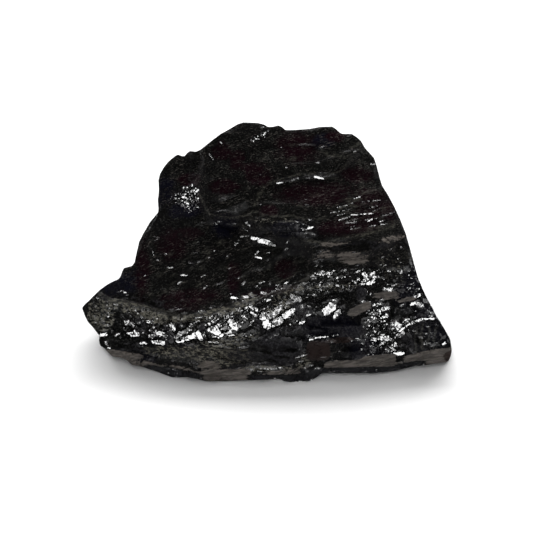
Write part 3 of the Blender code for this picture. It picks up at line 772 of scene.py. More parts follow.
# Hollows that stay dark: dented in, with facets turned away; the finish paints shade there by leaving out
# ash and dust, and paints faint light back in.
SHADED = patches(
    (25.3, -0.2, 2.2, 1.8), (13.9, -4.9, 2.8, 1.1), (5.6, 1.8, 2.6, 2.0, 0.0, 0.4, 2.0, 0.8),
    (1.8, -4.6, 5.6, 3.4, 0.0, 0.5, 2.0, 0.8), (-3.6, -4.6, 5.0, 3.2, 0.0, 0.5, 2.0, 0.6),
    (-16.2, 2.9, 2.2, 1.2), (-18.7, 3.7, 3.0, 1.4), (-6.0, 14.8, 7.5, 2.4, 0.0, 0.5, 2.0, 0.2),
    (3.0, 11.2, 4.0, 2.4, 0.0, 0.5, 2.0, 0.2), (6.6, 13.4, 2.8, 1.8, 0.0, 0.5, 2.0, 0.3),
    (13.6, 11.5, 9.0, 1.2, 3.0, 0.5), (-18.6, 0.0, 1.8, 2.4, 20.0), (-14.6, -1.4, 1.6, 3.8, -10.0),
    (-9.4, -0.9, 1.2, 2.8), (-6.9, -0.9, 0.7, 2.2, 10.0), (-12.4, -0.1, 3.4, 1.0, 10.0),
    (-19.9, -3.7, 4.2, 1.8), (9.6, -0.4, 8.6, 3.2, 0.0), (-1.2, 0.4, 0.8, 2.6), (0.8, -2.0, 5.0, 3.0),
    (4.4, 2.4, 2.4, 1.6, 20.0), (12.8, -3.2, 3.4, 2.6, 0.0, 0.6), (12.6, -1.2, 4.4, 2.4, 10.0, 0.5),
    (3.6, -3.0, 4.0, 3.8, 0.0, 0.6), (15.2, -2.2, 1.2, 3.0),
    (22.4, -2.0, 5.6, 4.4, 0.0, 0.35, 2.0, 0.8), (22.0, 1.9, 3.4, 1.6), (13.9, 4.6, 1.4, 2.4),
    (2.2, -3.8, 4.0, 2.4),
)

# The smooth upper faces.
UPPER = patches(
    (-7.0, 9.5, 24.0, 9.0, 12.0, 0.2, 3.0), (2.0, 22.0, 34.0, 12.0, 0.0, 0.2, 4.0),
    (-13.6, 23.6, 8.0, 8.0, 0.0, 0.2, 4.0), (14.0, 17.0, 14.0, 9.0, 10.0, 0.2, 4.0),
    (1.0, 11.0, 10.0, 5.0, 0.0, 0.3, 4.0),
)

# Where the gloss is dulled, so that it mirrors little.
CALM = UPPER + patches(
    (2.0, 24.0, 42.0, 15.0, 0.0, 0.15, 6.0), (-14.0, 24.0, 10.0, 9.0, 0.0, 0.2, 4.0),
    (15.5, 18.0, 17.0, 12.0, 10.0, 0.2, 4.0), (13.0, 11.0, 18.0, 6.0, 5.0, 0.2, 4.0),
    (-12.5, 3.7, 16.0, 3.0, -3.0, 0.2, 4.0), (-18.5, 9.0, 8.0, 9.0, 0.0, 0.3),
    (-6.0, 15.0, 9.0, 3.4, 0.0, 0.3, 4.0), (-9.4, -4.9, 17.5, 3.2, -3.0, 0.2, 4.0, 0.9),
    (9.8, -0.5, 8.6, 2.6, 0.0, 0.3, 4.0, 0.9), (9.4, -3.9, 7.5, 2.2, 0.0, 0.3, 4.0, 0.6),
    (0.8, -4.3, 8.4, 3.6, 0.0, 0.3, 4.0, 0.8), (4.6, 4.7, 7.5, 2.4, 22.0, 0.4, 2.0, 0.6),
)

# Where thin stripes run: pale ash lines are painted along them as their glints.
STRIPE_GLINTS = patches(
    (15.6, 17.4, 9.5, 8.0, 10.0, 0.5), (15.0, 25.0, 4.5, 4.5, 20.0, 0.5),
    (12.0, 20.0, 9.0, 3.0, 10.0, 0.6, 2.0, 0.6),
)

# The ledges on the broad side.
LEDGES = (
    Ledge(
        ((-25.1, 4.6), (-22.8, 3.5), (-20.1, 3.1), (-14.9, 1.7), (-11.9, 1.2), (-9.0, 1.4), (-6.1, 2.3)),
        0.2,
    ),
    Ledge(((-6.1, 2.3), (-3.2, 3.1), (-0.7, 4.0), (2.7, 5.0), (4.9, 6.1), (6.7, 7.1)), 0.2),
    Ledge(
        ((-10.2, 19.4), (-9.4, 17.9), (-8.6, 16.3), (-7.1, 16.0), (-5.3, 15.7)), 0.05, 0.9, 0.36, 0.4
    ),
    Ledge(
        ((-5.3, 15.7), (-3.3, 16.0), (-1.8, 16.7), (-0.7, 16.3), (1.3, 15.9), (3.6, 16.0)),
        0.05, 0.9, 0.36, 0.4,
    ),
    Ledge(((3.6, 16.0), (5.1, 15.6), (9.0, 15.6)), 0.05, 0.5, 0.36, 0.4),
    Ledge(
        ((-1.9, 17.4), (-0.7, 19.9), (0.3, 21.0), (2.1, 21.5), (4.5, 22.4), (7.0, 22.4)),
        0.12, 0.8, 0.36, 0.35,
    ),
    Ledge(((7.0, 22.4), (9.0, 22.2), (11.1, 22.8), (13.1, 25.2)), 0.1, 0.5, 0.3, 0.4),
    Ledge(((8.1, 26.7), (9.7, 25.6), (12.0, 25.1), (14.1, 26.2)), 0.1, 0.6, 0.3, 0.4),
    Ledge(((5.7, 12.4), (8.6, 11.9), (11.6, 12.7), (15.3, 13.4), (19.1, 14.6)), 0.14, 0.8, 0.5),
    Ledge(((22.2, -0.5), (21.8, -2.0), (22.1, -4.0)), 0.06, 0.7, 0.4, 0.3, 1.0),
    Ledge(((23.1, 0.0), (22.7, -1.7), (23.0, -3.5)), 0.06, 0.8, 0.4, 0.3, 1.0),
    Ledge(((24.1, -0.3), (23.8, -2.8)), 0.06, 0.6, 0.4, 0.3, 1.0),
    Ledge(((25.0, -0.6), (24.5, -3.4)), 0.06, 0.7, 0.4, 0.3, 1.0),
)

# The scattered flakes, in the order in which they are cut.
SCATTERS = (
    Scatter(
        Patch((16.8, -0.2), 3.8, 6.8), 34, (0.1, 0.5), (0.24, 0.4), 20.0, 30.0, (0.5, 0.2, 0.0, 0.3), 40
    ),
    Scatter(
        Patch((16.5, 0.9), 2.6, 2.6), 16, (0.3, 1.0), (0.3, 0.6), 10.0, 20.0, (0.7, 0.1, 0.0, 0.2), 43
    ),
    Scatter(
        Patch((17.4, -2.6), 2.8, 2.2), 14, (0.3, 1.0), (0.3, 0.6), 25.0, 20.0, (0.7, 0.1, 0.0, 0.2), 44
    ),
    Scatter(
        Patch((10.6, 7.0), 8.6, 2.4, 4.0),
        32, (0.3, 0.9), (0.22, 0.38), 10.0, 12.0, (0.36, 0.14, 0.0, 0.5), 41,
    ),
    Scatter(
        Patch((15.2, 6.6), 1.8, 1.8), 8, (0.3, 0.7), (0.3, 0.6), 60.0, 30.0, (0.8, 0.1, 0.0, 0.1), 45
    ),
    Scatter(
        Patch((-11.6, 18.7), 2.9, 4.2),
        110, (0.1, 0.35), (0.26, 0.42), 20.0, 40.0, (0.6, 0.2, 0.0, 0.2), 39,
    ),
    Scatter(
        Patch((-13.4, 18.6), 2.4, 2.0),
        16, (0.1, 0.3), (0.24, 0.36), 20.0, 40.0, (0.6, 0.2, 0.0, 0.2), 42,
    ),
    Scatter(
        Patch((-9.0, 8.0), 20.0, 9.0, 10.0),
        36, (0.2, 0.9), (0.2, 0.3), 30.0, 12.0, (0.0, 0.3, 0.7, 0.0), 35,
    ),
    Scatter(
        Patch((2.0, 8.0), 14.0, 8.0, 20.0),
        26, (0.2, 0.9), (0.2, 0.3), 30.0, 12.0, (0.0, 0.3, 0.7, 0.0), 36,
    ),
    Scatter(
        Patch((4.0, 22.0), 22.0, 12.0),
        14, (0.1, 0.6), (0.18, 0.26), 8.0, 14.0, (0.0, 0.4, 0.6, 0.0), 37,
    ),
    Scatter(
        Patch((14.5, 16.6), 8.0, 6.0, 8.0),
        26, (0.8, 3.0), (0.18, 0.22), 11.0, 4.0, (0.1, 0.3, 0.6, 0.0), 38,
    ),
    Scatter(
        Patch((19.2, 8.2), 8.0, 5.0, -65.0),
        34, (0.2, 0.8), (0.2, 0.3), 28.0, 12.0, (0.0, 0.4, 0.4, 0.2), 46,
    ),
    Scatter(
        Patch((-4.5, 15.0), 9.0, 2.8, -5.0),
        14, (0.3, 1.0), (0.2, 0.28), -10.0, 25.0, (0.0, 0.4, 0.4, 0.2), 47,
    ),
    Scatter(
        Patch((-1.0, 28.3), 3.4, 0.9, 28.0),
        14, (0.1, 0.3), (0.22, 0.34), 20.0, 30.0, (0.6, 0.3, 0.0, 0.1), 48,
    ),
)


@dataclass(frozen=True)
class Shatter:
    """One generation of small, flat facets over the whole surface, thin across the bedding.

    Attributes:
        spacing: how far apart they are.
        stretch: how many times thinner they are across the bedding.
        tilt: how far they are tilted at random.
        seed: which random numbers to draw.
        most: the most that a facet takes off or adds, as a share of the spacing.
        spread: how many there are, against one to each square of the spacing.
    """

    spacing: float
    stretch: float
    tilt: float
    seed: int
    most: float
    spread: float = 0.7


SHATTERS = (Shatter(1.9, 1.8, 0.17, 5, 0.2), Shatter(0.8, 2.0, 0.12, 6, 0.25))


@dataclass(frozen=True)
class Grain:
    """One generation of small, flat facets over a patch of the broad side, all long one way.

    Attributes:
        patch: where they lie.
        turn: how far their long way rises to the right.
        spacing: how far apart they are across it.
        aspect: how many times longer than wide they are.
        tilt: how far they are tilted at random.
        glints: the share that throws the key lamp's light.
        seed: which random numbers to draw.
        most: the most that a facet takes off or adds, as a share of the spacing.
        brighter: how much the share of glints grows in a bright patch.
        darker: the share that is turned away in a shaded patch.
        first: whether they are the large facets, or the small ones that follow them.
        follow: how near the mirror's way small facets begin to follow the large ones, and do so most.
        stray: how far a bright facet strays from the mirror's way.
        leans: how far a dark facet is turned up, or down.
        upward: the share of dark facets that are turned up.
    """

    patch: Patch
    turn: float
    spacing: float
    aspect: float
    tilt: float
    glints: float
    seed: int
    most: float = 0.4
    brighter: float = 0.5
    darker: float = 1.2
    first: bool = True
    follow: Span = (9.0, 4.0)
    stray: float = 0.035
    leans: Span = (18.0, -19.0)
    upward: float = 0.6

    def finer(self) -> "Grain":
        """The small facets that follow these large ones.

        Returns:
            The second generation.
        """
        return replace(
            self,
            spacing=self.spacing * 0.4,
            tilt=self.tilt * 0.45,
            glints=self.glints * 0.4,
            seed=self.seed + 100,
            brighter=0.12,
            darker=0.2,
            first=False,
        )


# The large facets, in the order in which they are made.
GRAINS = (
    Grain(Patch((-6.0, 9.0), 32.0, 15.0, 8.0), 28.0, 1.9, 4.0, 0.035, 0.0, 61, 0.06),
    Grain(Patch((3.0, 22.0), 32.0, 16.0), 8.0, 2.1, 3.0, 0.03, 0.0, 62, 0.06),
    Grain(Patch((14.0, 17.0), 12.0, 9.0, 8.0), 9.0, 0.9, 6.0, 0.05, 0.0, 63, 0.06),
    Grain(Patch((-13.5, 21.5), 7.0, 11.0), 60.0, 1.6, 1.8, 0.035, 0.0, 64, 0.06),
    Grain(Patch((0.5, 13.6), 15.0, 5.0, -4.0), -8.0, 1.3, 3.0, 0.12, 0.0, 65),
    Grain(Patch((12.0, 10.5), 18.0, 5.0, 5.0), 4.0, 1.3, 3.5, 0.05, 0.0, 66, 0.06),
    Grain(Patch((-19.0, 0.5), 14.0, 8.0, -8.0), -12.0, 1.4, 1.8, 0.26, 0.03, 67),
    Grain(Patch((-9.5, -0.5), 14.0, 6.0, 3.0), 22.0, 1.1, 2.4, 0.27, 0.05, 68),
    Grain(Patch((-0.5, 1.6), 11.0, 8.0, 25.0), 30.0, 1.2, 2.2, 0.27, 0.03, 69),
    Grain(Patch((12.0, 6.0), 19.0, 5.5, 8.0), 9.0, 1.0, 2.3, 0.27, 0.03, 70),
    Grain(Patch((16.3, -0.8), 5.5, 9.0), 60.0, 0.9, 1.4, 0.3, 0.05, 71),
    Grain(Patch((22.5, 0.0), 9.0, 10.0), -30.0, 2.0, 1.4, 0.2, 0.02, 72),
    Grain(Patch((9.0, -1.2), 12.0, 8.0), 6.0, 2.4, 2.0, 0.1, 0.0, 73),
    Grain(Patch((-11.0, -5.0), 30.0, 5.0), -2.0, 1.7, 3.5, 0.1, 0.0, 74),
)


class Skin:
    """The nugget's surface while it is being carved, in millimetres.

    Attributes:
        base: the height up to which points stay in place, and that from which they move freely.
        mesh: the mesh, whose own units are metres.
        points: its points.
        normals: the way the surface looks at each point.
    """

    base: Span = (0.03, 0.5)

    def __init__(self, mesh: bpy.types.Mesh) -> None:
        """Take up a mesh, whose own units are metres."""
        self.mesh = mesh
        self.points = self._read(mesh.vertices, "co") / MM
        self.refresh()

    def _read(self, items: bpy.types.bpy_prop_collection, name: str) -> np.ndarray:
        """Read one vector property of every item.

        Args:
            items: the mesh's vertices or normals.
            name: the property.

        Returns:
            One row of three numbers for each item.
        """
        numbers = np.empty(len(items) * 3, np.float32)
        items.foreach_get(name, numbers)
        return numbers.reshape(-1, 3).astype(float)

    def refresh(self) -> None:
        """Give the points back to the mesh, and measure the normals again."""
        self.mesh.vertices.foreach_set("co", (self.points * MM).astype(np.float32).ravel())
        self.mesh.update()
        self.normals = self._read(self.mesh.vertex_normals, "vector")

    @property
    def uv(self) -> np.ndarray:
        """The points' places on the broad side."""
        return SIDE.lay(self.points)

    @property
    def free(self) -> np.ndarray:
        """0 at the flat base, which stays as it is, and 1 from a little above it."""
        return smooth_step(self.points[:, 2], *self.base)

    def push(self, shift: np.ndarray) -> None:
        """Move the points, less so near the base."""
        self.points = self.points + shift * self.free[:, None]
        self.refresh()

    def hold(self, box: tuple[np.ndarray, np.ndarray]) -> None:
        """Bring points that lie outside a box back to its sides."""
        self.points = np.clip(self.points, *box)
        self.refresh()

    def soften(self, share: np.ndarray, times: int) -> None:
        """Move each point towards the middle of its neighbours.

        Args:
            share: how far each point goes, from 0 to 1.
            times: how often it is done.
        """
        first, second = self.ends()
        size = len(self.points)
        count = np.bincount(first, minlength=size) + np.bincount(second, minlength=size)
        for _ in range(times):
            middle = np.empty(self.points.shape)
            for axis in range(3):
                values = self.points[:, axis]
                total = np.bincount(first, values[second], size)
                total = total + np.bincount(second, values[first], size)
                middle[:, axis] = total / np.maximum(count, 1)
            self.points = self.points + (middle - self.points) * (share * self.free)[:, None]
        self.refresh()

    def ends(self) -> np.ndarray:
        """Read the mesh's edges.

        Returns:
            The numbers of each edge's two points, in two rows.
        """
        numbers = np.empty(len(self.mesh.edges) * 2, np.int32)
        self.mesh.edges.foreach_get("vertices", numbers)
        return numbers.reshape(-1, 2).T

    @property
    def convex(self) -> np.ndarray:
        """How far each point stands out from its neighbours, against the distance to them.

        Returns:
            The mean over each point's edges, above 0 on a ridge and below 0 in a groove.
        """
        first, second = self.ends()
        span = self.points[second] - self.points[first]
        length = np.linalg.norm(span, axis=1)
        total = np.zeros(len(self.points))
        count = np.zeros(len(self.points))
        for start, way in ((first, span), (second, -span)):
            drop = -np.einsum("ij,ij->i", way, self.normals[start]) / np.maximum(length, 1e-6)
            total += np.bincount(start, drop, len(total))
            count += np.bincount(start, minlength=len(count))
        return total / np.maximum(count, 1.0)

    def keep(self, name: str, values: np.ndarray) -> None:
        """Leave a number at each point for the finish to use."""
        layer = self.mesh.attributes.new(name, "FLOAT", "POINT")
        layer.data.foreach_set("value", values.astype(np.float32))


@dataclass
class Layers:
    """The bedding: thin, nearly level layers, some of which stand out a little further than others.

    Attributes:
        facing: the way the layers look.
        thickness: how thick they are, in two generations.
        relief: how far they stand out.
        steep: how far a surface looks along the bedding where it is all stepped, and not stepped.
    """

    facing: np.ndarray = field(default_factory=lambda: unit(np.array([-0.08, -0.19, 0.98])))
    thickness: Span = (1.15, 0.47)
    relief: Span = (0.16, 0.07)
    steep: Span = (0.62, 0.9)

    def carve(self, skin: Skin) -> None:
        """Step the steep sides of the surface along the layers.

        Args:
            skin: the surface.
        """
        steep = 1.0 - smooth_step(skin.normals @ self.facing, *self.steep)
        wavy = 0.35 * swell(skin.points, 5.0, 3) + 0.12 * swell(skin.points, 1.6, 5)
        height = skin.points @ self.facing + wavy
        outward = unit(skin.normals - np.outer(skin.normals @ self.facing, self.facing))
        total = np.zeros(len(height))
        for number, (thickness, relief) in enumerate(zip(self.thickness, self.relief)):
            # Each layer reads noise far from its neighbour's, so that it stands out on its own.
            place = skin.points * np.array([0.3, 0.3, 0.0]) / thickness
            place[:, 2] = np.floor(height / thickness) * 7.0
            total += relief * swell(place, 1.0, 11 + number)
        skin.push(outward * (total * steep)[:, None])


@dataclass(frozen=True)
class Cells:
    """The surface's points shared out among cells.

    Attributes:
        owner: the cell of each point.
        centres: the middle of each cell.
        normals: the way each cell looks.
    """

    owner: np.ndarray
    centres: np.ndarray
    normals: np.ndarray

    @classmethod
    def share_out(
        cls, laid: np.ndarray, seeds: np.ndarray, points: np.ndarray, normals: np.ndarray
    ) -> "Cells":
        """Give each point to its nearest seed.

        Args:
            laid: the points, in the space in which the cells are round.
            seeds: which of the points are seeds.
            points: the same points, in millimetres.
            normals: the way the surface looks at them.

        Returns:
            The cells.
        """
        tree = kdtree.KDTree(len(seeds))
        for place, index in enumerate(seeds):
            tree.insert(laid[index], place)
        tree.balance()
        owner = np.array([tree.find(point)[1] for point in laid])
        size = np.maximum(np.bincount(owner, minlength=len(seeds)), 1)[:, None]
        sums = [
            np.column_stack([np.bincount(owner, values[:, axis], len(seeds)) for axis in range(3)])
            for values in (points, normals)
        ]
        return cls(owner, sums[0] / size, unit(sums[1]))

    def height(self, points: np.ndarray, facing: np.ndarray, most: float) -> np.ndarray:
        """How far points stand above their cells' flat facets.

        Args:
            points: the points that were shared out.
            facing: the way each cell's facet looks.
            most: the largest height, either way, that is taken down.

        Returns:
            One height for each point.
        """
        offset = points - self.centres[self.owner]
        return np.clip(np.einsum("ij,ij->i", offset, facing[self.owner]), -most, most)


@dataclass(frozen=True)
class Mirror:
    """Where the key lamp and the camera are, so that a facet can be turned to join them.

    Attributes:
        lamp: the lamp's place.
        camera: the camera's place.
        off_glint: how far a glint looks off the mirror's way.
        off_sheen: how far a sheen does.
        dark_up: how far a dark facet is turned up.
        dark_down: how far it is turned down.
        upward: the share of dark facets that are turned up.
    """

    lamp: np.ndarray
    camera: np.ndarray
    off_glint: float = 1.0
    off_sheen: float = 4.0
    dark_up: float = 24.0
    dark_down: float = -14.0
    upward: float = 0.4

    def facing(self, points: np.ndarray) -> np.ndarray:
        """The way a facet looks at each point when it throws the lamp's light to the camera."""
        return unit(unit(self.camera - points) + unit(self.lamp - points))

    def towards(self, point: np.ndarray, facing: Facing, random: np.random.Generator) -> np.ndarray:
        """The way one facet looks.

        Args:
            point: the facet's middle.
            facing: what it shows.
            random: where its small differences come from.

        Returns:
            A vector of length 1.
        """
        straight = self.facing(point[None, :])[0]
        if facing is DARK:
            lean = self.dark_up if random.random() < self.upward else self.dark_down
            angle = math.radians(lean + random.uniform(-3.0, 3.0))
            rise = np.cross(np.array([1.0, 0.0, 0.0]), straight)
            rise = rise if rise[2] > 0.0 else -rise
            return unit(straight * math.cos(angle) + rise * math.sin(angle))
        sideways = unit(np.cross(straight, unit(random.normal(0.0, 1.0, 3))))
        off = self.off_glint if facing is GLINT else self.off_sheen
        angle = math.radians(off * random.uniform(0.7, 1.2))
        return unit(straight * math.cos(angle) + sideways * math.sin(angle))


@dataclass
class Chisel:
    """What cuts flakes into the broad side.

    Attributes:
        mirror: how a facet can catch the light.
        points: the points in reach, which change as it cuts.
        random: where the small differences come from.
        longest: a flake is cut as one facet up to about this length, and as a row of them beyond it.
        behind: how far in front of or behind a facet's middle points still belong to it.
        most: the most that a facet takes off or adds.
    """

    mirror: Mirror
    points: np.ndarray
    random: np.random.Generator
    longest: float = 1.8
    behind: float = 0.8
    most: float = 0.5

    def __post_init__(self) -> None:
        """Lay the points out on the broad side, and draw how ragged the flakes' edges are."""
        self.uv = SIDE.lay(self.points)
        self.ragged = 0.16 * swell(self.points, 0.45, 71)

    def cut(self, flake: Flake) -> None:
        """Cut one flake, as one facet or a row of short ones.

        Args:
            flake: what to cut.
        """
        start, end = np.array(flake.start), np.array(flake.end)
        length = float(np.hypot(*(end - start)))
        heading = (end - start) / max(length, 1e-6)
        count = max(1, round(length / self.longest))
        whole = length + flake.width
        reach = length / 2 + flake.width
        near = np.flatnonzero((np.abs(self.uv - (start + end) / 2) < reach).all(axis=1))
        if len(near) == 0:
            return
        offset = self.uv[near] - start
        along = offset @ heading
        held = np.clip(along, 0.0, length)
        away = np.hypot(*(offset - np.outer(held, heading)).T) + self.ragged[near] * flake.width
        piece = np.clip((along + flake.width / 2) / whole * count, 0, count - 0.01).astype(int)
        for number in range(count):
            share = (number + 0.5) / count * whole - flake.width / 2
            own = near[(piece == number) & (away < flake.width / 2)]
            if len(own) > 0:
                self.facet(own, start + heading * share, flake)

    def facet(self, own: np.ndarray, middle: np.ndarray, flake: Flake) -> None:
        """Flatten some points to one facet, and set it in a little.

        Args:
            own: the numbers of the points.
            middle: where the facet's middle is on the broad side.
            flake: what the facet shows and how deep it goes.
        """
        nearest = own[int(np.argmin(np.hypot(*(self.uv[own] - middle).T)))]
        centre = self.points[nearest]
        facing = self.mirror.towards(centre, flake.facing, self.random)
        offset = self.points[own] - centre
        close = np.abs(offset @ SIDE.outward) < self.behind
        own = own[close]
        height = np.clip(offset[close] @ facing, -self.most, self.most)
        self.points[own] -= facing * (height + flake.depth)[:, None]
        self.uv[own] = SIDE.lay(self.points[own])


@dataclass
class Nugget:
    """The nugget: one piece of broken rock.

    Attributes:
        node: its solid, in the frame.
        mirror: how its facets can catch the light.
        layers: its bedding.
        voxel: how fine its mesh is before it is thinned.
        most_triangles: how many triangles are left of it.
        recess: how far the shaded hollows go in.
        crease: the angle from which an edge shows as sharp.
        weld: how close points of the solid are joined.
        chip_seeds: the small differences of the scattered flakes, and of the others.
    """

    node: bpy.types.Object
    mirror: Mirror
    layers: Layers = field(default_factory=Layers)
    voxel: float = 0.17
    most_triangles: int = 197000
    recess: float = 0.25
    crease: float = 14.0
    weld: float = 0.002
    chip_seeds: tuple[int, int] = (21, 22)

    def fine_mesh(self) -> bpy.types.Mesh:
        """Make a closed, even, fine mesh of the solid.

        Returns:
            The mesh, in metres.
        """
        shape = bmesh.new()
        shape.from_mesh(self.node.data)
        bmesh.ops.remove_doubles(shape, verts=shape.verts, dist=self.weld * MM)
        mesh = bpy.data.meshes.new("nugget")
        shape.to_mesh(mesh)
        shape.free()
        rough = self.loose(mesh)
        remesh = rough.modifiers.new("Even", "REMESH")
        remesh.mode = "VOXEL"
        remesh.voxel_size = self.voxel * MM
        soften = rough.modifiers.new("Soften", "SMOOTH")
        soften.factor = 0.5
        soften.iterations = 3
        return self.frozen(rough)

    def loose(self, mesh: bpy.types.Mesh) -> bpy.types.Object:
        """Put a mesh in the scene as an object to work on.

        Args:
            mesh: the mesh.

        Returns:
            The object, which frozen takes away again.
        """
        rough = bpy.data.objects.new("rough", mesh)
        bpy.context.scene.collection.objects.link(rough)
        return rough

    def frozen(self, item: bpy.types.Object) -> bpy.types.Mesh:
        """Apply an object's modifiers, and take the object away.

        Args:
            item: the object.

        Returns:
            Its mesh.
        """
        bpy.context.view_layer.update()
        done = item.evaluated_get(bpy.context.evaluated_depsgraph_get())
        mesh = bpy.data.meshes.new_from_object(done)
        bpy.data.objects.remove(item)
        return mesh

    def thinned(self, mesh: bpy.types.Mesh) -> bpy.types.Mesh:
        """Thin out a mesh's flattest parts, down to the most triangles it may have.

        Args:
            mesh: the mesh.

        Returns:
            The thinner mesh.
        """
        rough = self.loose(mesh)
        triangles = sum(len(face.vertices) - 2 for face in mesh.polygons)
        fewer = rough.modifiers.new("Fewer", "DECIMATE")
        fewer.ratio = min(1.0, self.most_triangles / triangles)
        return self.frozen(rough)

    def shatter(self, skin: Skin, facets: Shatter, long_way: np.ndarray, share: np.ndarray) -> None:
        """Break the surface up into small flat facets.

        Args:
            skin: the surface.
            facets: their spacing and how they lie.
            long_way: the direction in which each facet is thin: it is longer every other way.
            share: at each point, how far the surface goes over to its facet, from 0 to 1.
        """
        random = np.random.default_rng(facets.seed)
        area = len(skin.points) * self.voxel**2
        count = int(area / facets.spacing**2 * facets.stretch * facets.spread)
        in_order = np.lexsort(np.round(skin.points, 2).T)
        seeds = in_order[random.choice(len(skin.points), count, replace=False)]
        stretched = skin.points + np.outer(skin.points @ long_way, long_way) * (facets.stretch - 1.0)
        cells = Cells.share_out(stretched, seeds, skin.points, skin.normals)
        facing = unit(cells.normals + random.normal(0.0, facets.tilt, (count, 3)))
        height = cells.height(skin.points, facing, facets.most * facets.spacing) * share
        skin.push(-facing[cells.owner] * height[:, None])

    def grain(self, skin: Skin, grain: Grain) -> None:
        """Break a patch of the broad side up into small flat facets.

        Args:
            skin: the surface.
            grain: the patch, and how its facets lie.
        """
        random = np.random.default_rng(grain.seed)
        uv = skin.uv
        share = grain.patch.share(uv) * smooth_step(skin.normals @ SIDE.outward, 0.1, 0.45)
        inside = np.flatnonzero(share > 0.02)
        points = skin.points[inside]
        along_axis, across_axis = turned(grain.turn)
        along = uv[inside] @ along_axis
        across = uv[inside] @ across_axis
        laid = np.column_stack([along / grain.aspect, across, points @ SIDE.outward * 0.4])
        count = max(2, int(len(inside) * self.voxel**2 / (grain.spacing**2 * grain.aspect)))
        in_order = np.lexsort(np.round(laid, 2).T)
        seeds = in_order[random.choice(len(inside), count, replace=False)]
        cells = Cells.share_out(laid, seeds, points, skin.normals[inside])
        facing = self.facings(grain, cells, random)
        height = cells.height(points, facing, grain.most * grain.spacing) * share[inside]
        shift = np.zeros(skin.points.shape)
        shift[inside] = -facing[cells.owner] * height[:, None]
        skin.push(shift)

    def facings(self, grain: Grain, cells: Cells, random: np.random.Generator) -> np.ndarray:
        """The way each of a grain's facets looks: at random, but bright or dark where those gather.

        Args:
            grain: the facets' tilt and how many throw the key lamp's light.
            cells: the facets' places.
            random: where they differ.

        Returns:
            One direction for each facet.
        """
        count = len(cells.centres)
        angle = math.radians(grain.turn)
        long_way = np.array([math.cos(angle), 0.0, 0.0]) + SIDE.upward * math.sin(angle)
        near = self.mirror.facing(cells.centres)
        alike = np.einsum("ij,ij->i", near, cells.normals)
        begins, ends = (math.cos(math.radians(degrees)) for degrees in grain.follow)
        loose = 1.0 if grain.first else 1.0 - 0.8 * smooth_step(alike, begins, ends)[:, None]
        scatter = random.normal(0.0, grain.tilt, (count, 3)) * loose
        scatter -= np.outer(scatter @ long_way, long_way) * (1.0 - 1.0 / grain.aspect)
        facing = unit(cells.normals + scatter)
        uv = SIDE.lay(cells.centres)
        shaded = cover(SHADED, uv)
        draw = random.random(count)
        bright = draw < (grain.glints + grain.brighter * cover(BRIGHT, uv)) * (1.0 - shaded)
        bright &= alike > 0.8
        mirroring = unit(near + random.normal(0.0, grain.stray, (count, 3)))
        facing = np.where(bright[:, None], mirroring, facing)
        dark = (draw > 1.0 - grain.darker * shaded) & (alike > 0.6)
        lean = np.radians(np.where(random.random(count) < grain.upward, *grain.leans))
        rise = unit(np.cross(near, [1.0, 0.0, 0.0]))
        away = near * np.cos(lean)[:, None] + rise * np.sin(lean)[:, None]
        return np.where(dark[:, None], away, facing)

    def chip(self, skin: Skin, chips: Sequence[Flake], seed: int) -> None:
        """Cut flakes into the broad side.

        Args:
            skin: the surface.
            chips: what to cut, in this order.
            seed: where the small differences come from.
        """
        above_foot = skin.points[:, 2] > 0.4
        visible = np.flatnonzero((skin.normals @ SIDE.outward > 0.05) & above_foot)
        chisel = Chisel(self.mirror, skin.points[visible], np.random.default_rng(seed))
        for flake in chips:
            if flake.facing is not WORN_SHEEN:
                chisel.cut(flake)
        skin.points[visible] = chisel.points
        skin.refresh()

    def carve(self, scattered: Sequence[Flake]) -> Skin:
        """Carve the nugget: layers, broken sides, grain, ledges and flakes, and last its outline.

        Args:
            scattered: the flakes that are spread at random.

        Returns:
            Its surface, thinned out.
        """
        skin = Skin(self.fine_mesh())
        log.info("fine mesh: %d points", len(skin.points))
        self.layers.carve(skin)
        bedding = self.layers.facing
        front = SIDE.faced(skin.normals)
        flat = smooth_step(skin.normals @ bedding, 0.8, 0.93)
        rim = 1.0 - smooth_step(np.abs(skin.normals @ SIDE.outward), 0.1, 0.4)
        rugged = (1.0 - 0.8 * flat) * (1.0 - 0.35 * rim) * (1.0 - front)
        for facets in SHATTERS:
            self.shatter(skin, facets, bedding, rugged)
        blunt = 0.8 * (1.0 - front) * smooth_step(skin.convex, 0.05, 0.3)
        skin.soften(blunt, times=8)
        skin.push(skin.normals * (-self.recess * cover(SHADED, skin.uv) * front)[:, None])
        for large in GRAINS:
            self.grain(skin, large)
            self.grain(skin, large.finer())
        uv = skin.uv
        shift = sum(ledge.shift(uv) for ledge in LEDGES)
        skin.push(skin.normals * (shift * front)[:, None])
        skin.soften(0.6 * cover(UPPER, skin.uv) * front, times=3)
        for chips, seed in zip((scattered, NAMED_FLAKES), self.chip_seeds):
            self.chip(skin, chips, seed)
        shift = OUTLINE.shift(skin.points, skin.normals)
        shift[:, 2] *= skin.free
        skin.points = skin.points + shift
        box = tuple(np.array(corner) / MM for corner in CAD_BOX)
        skin.hold(box)
        skin = Skin(self.thinned(skin.mesh))
        skin.hold(box)
        return skin

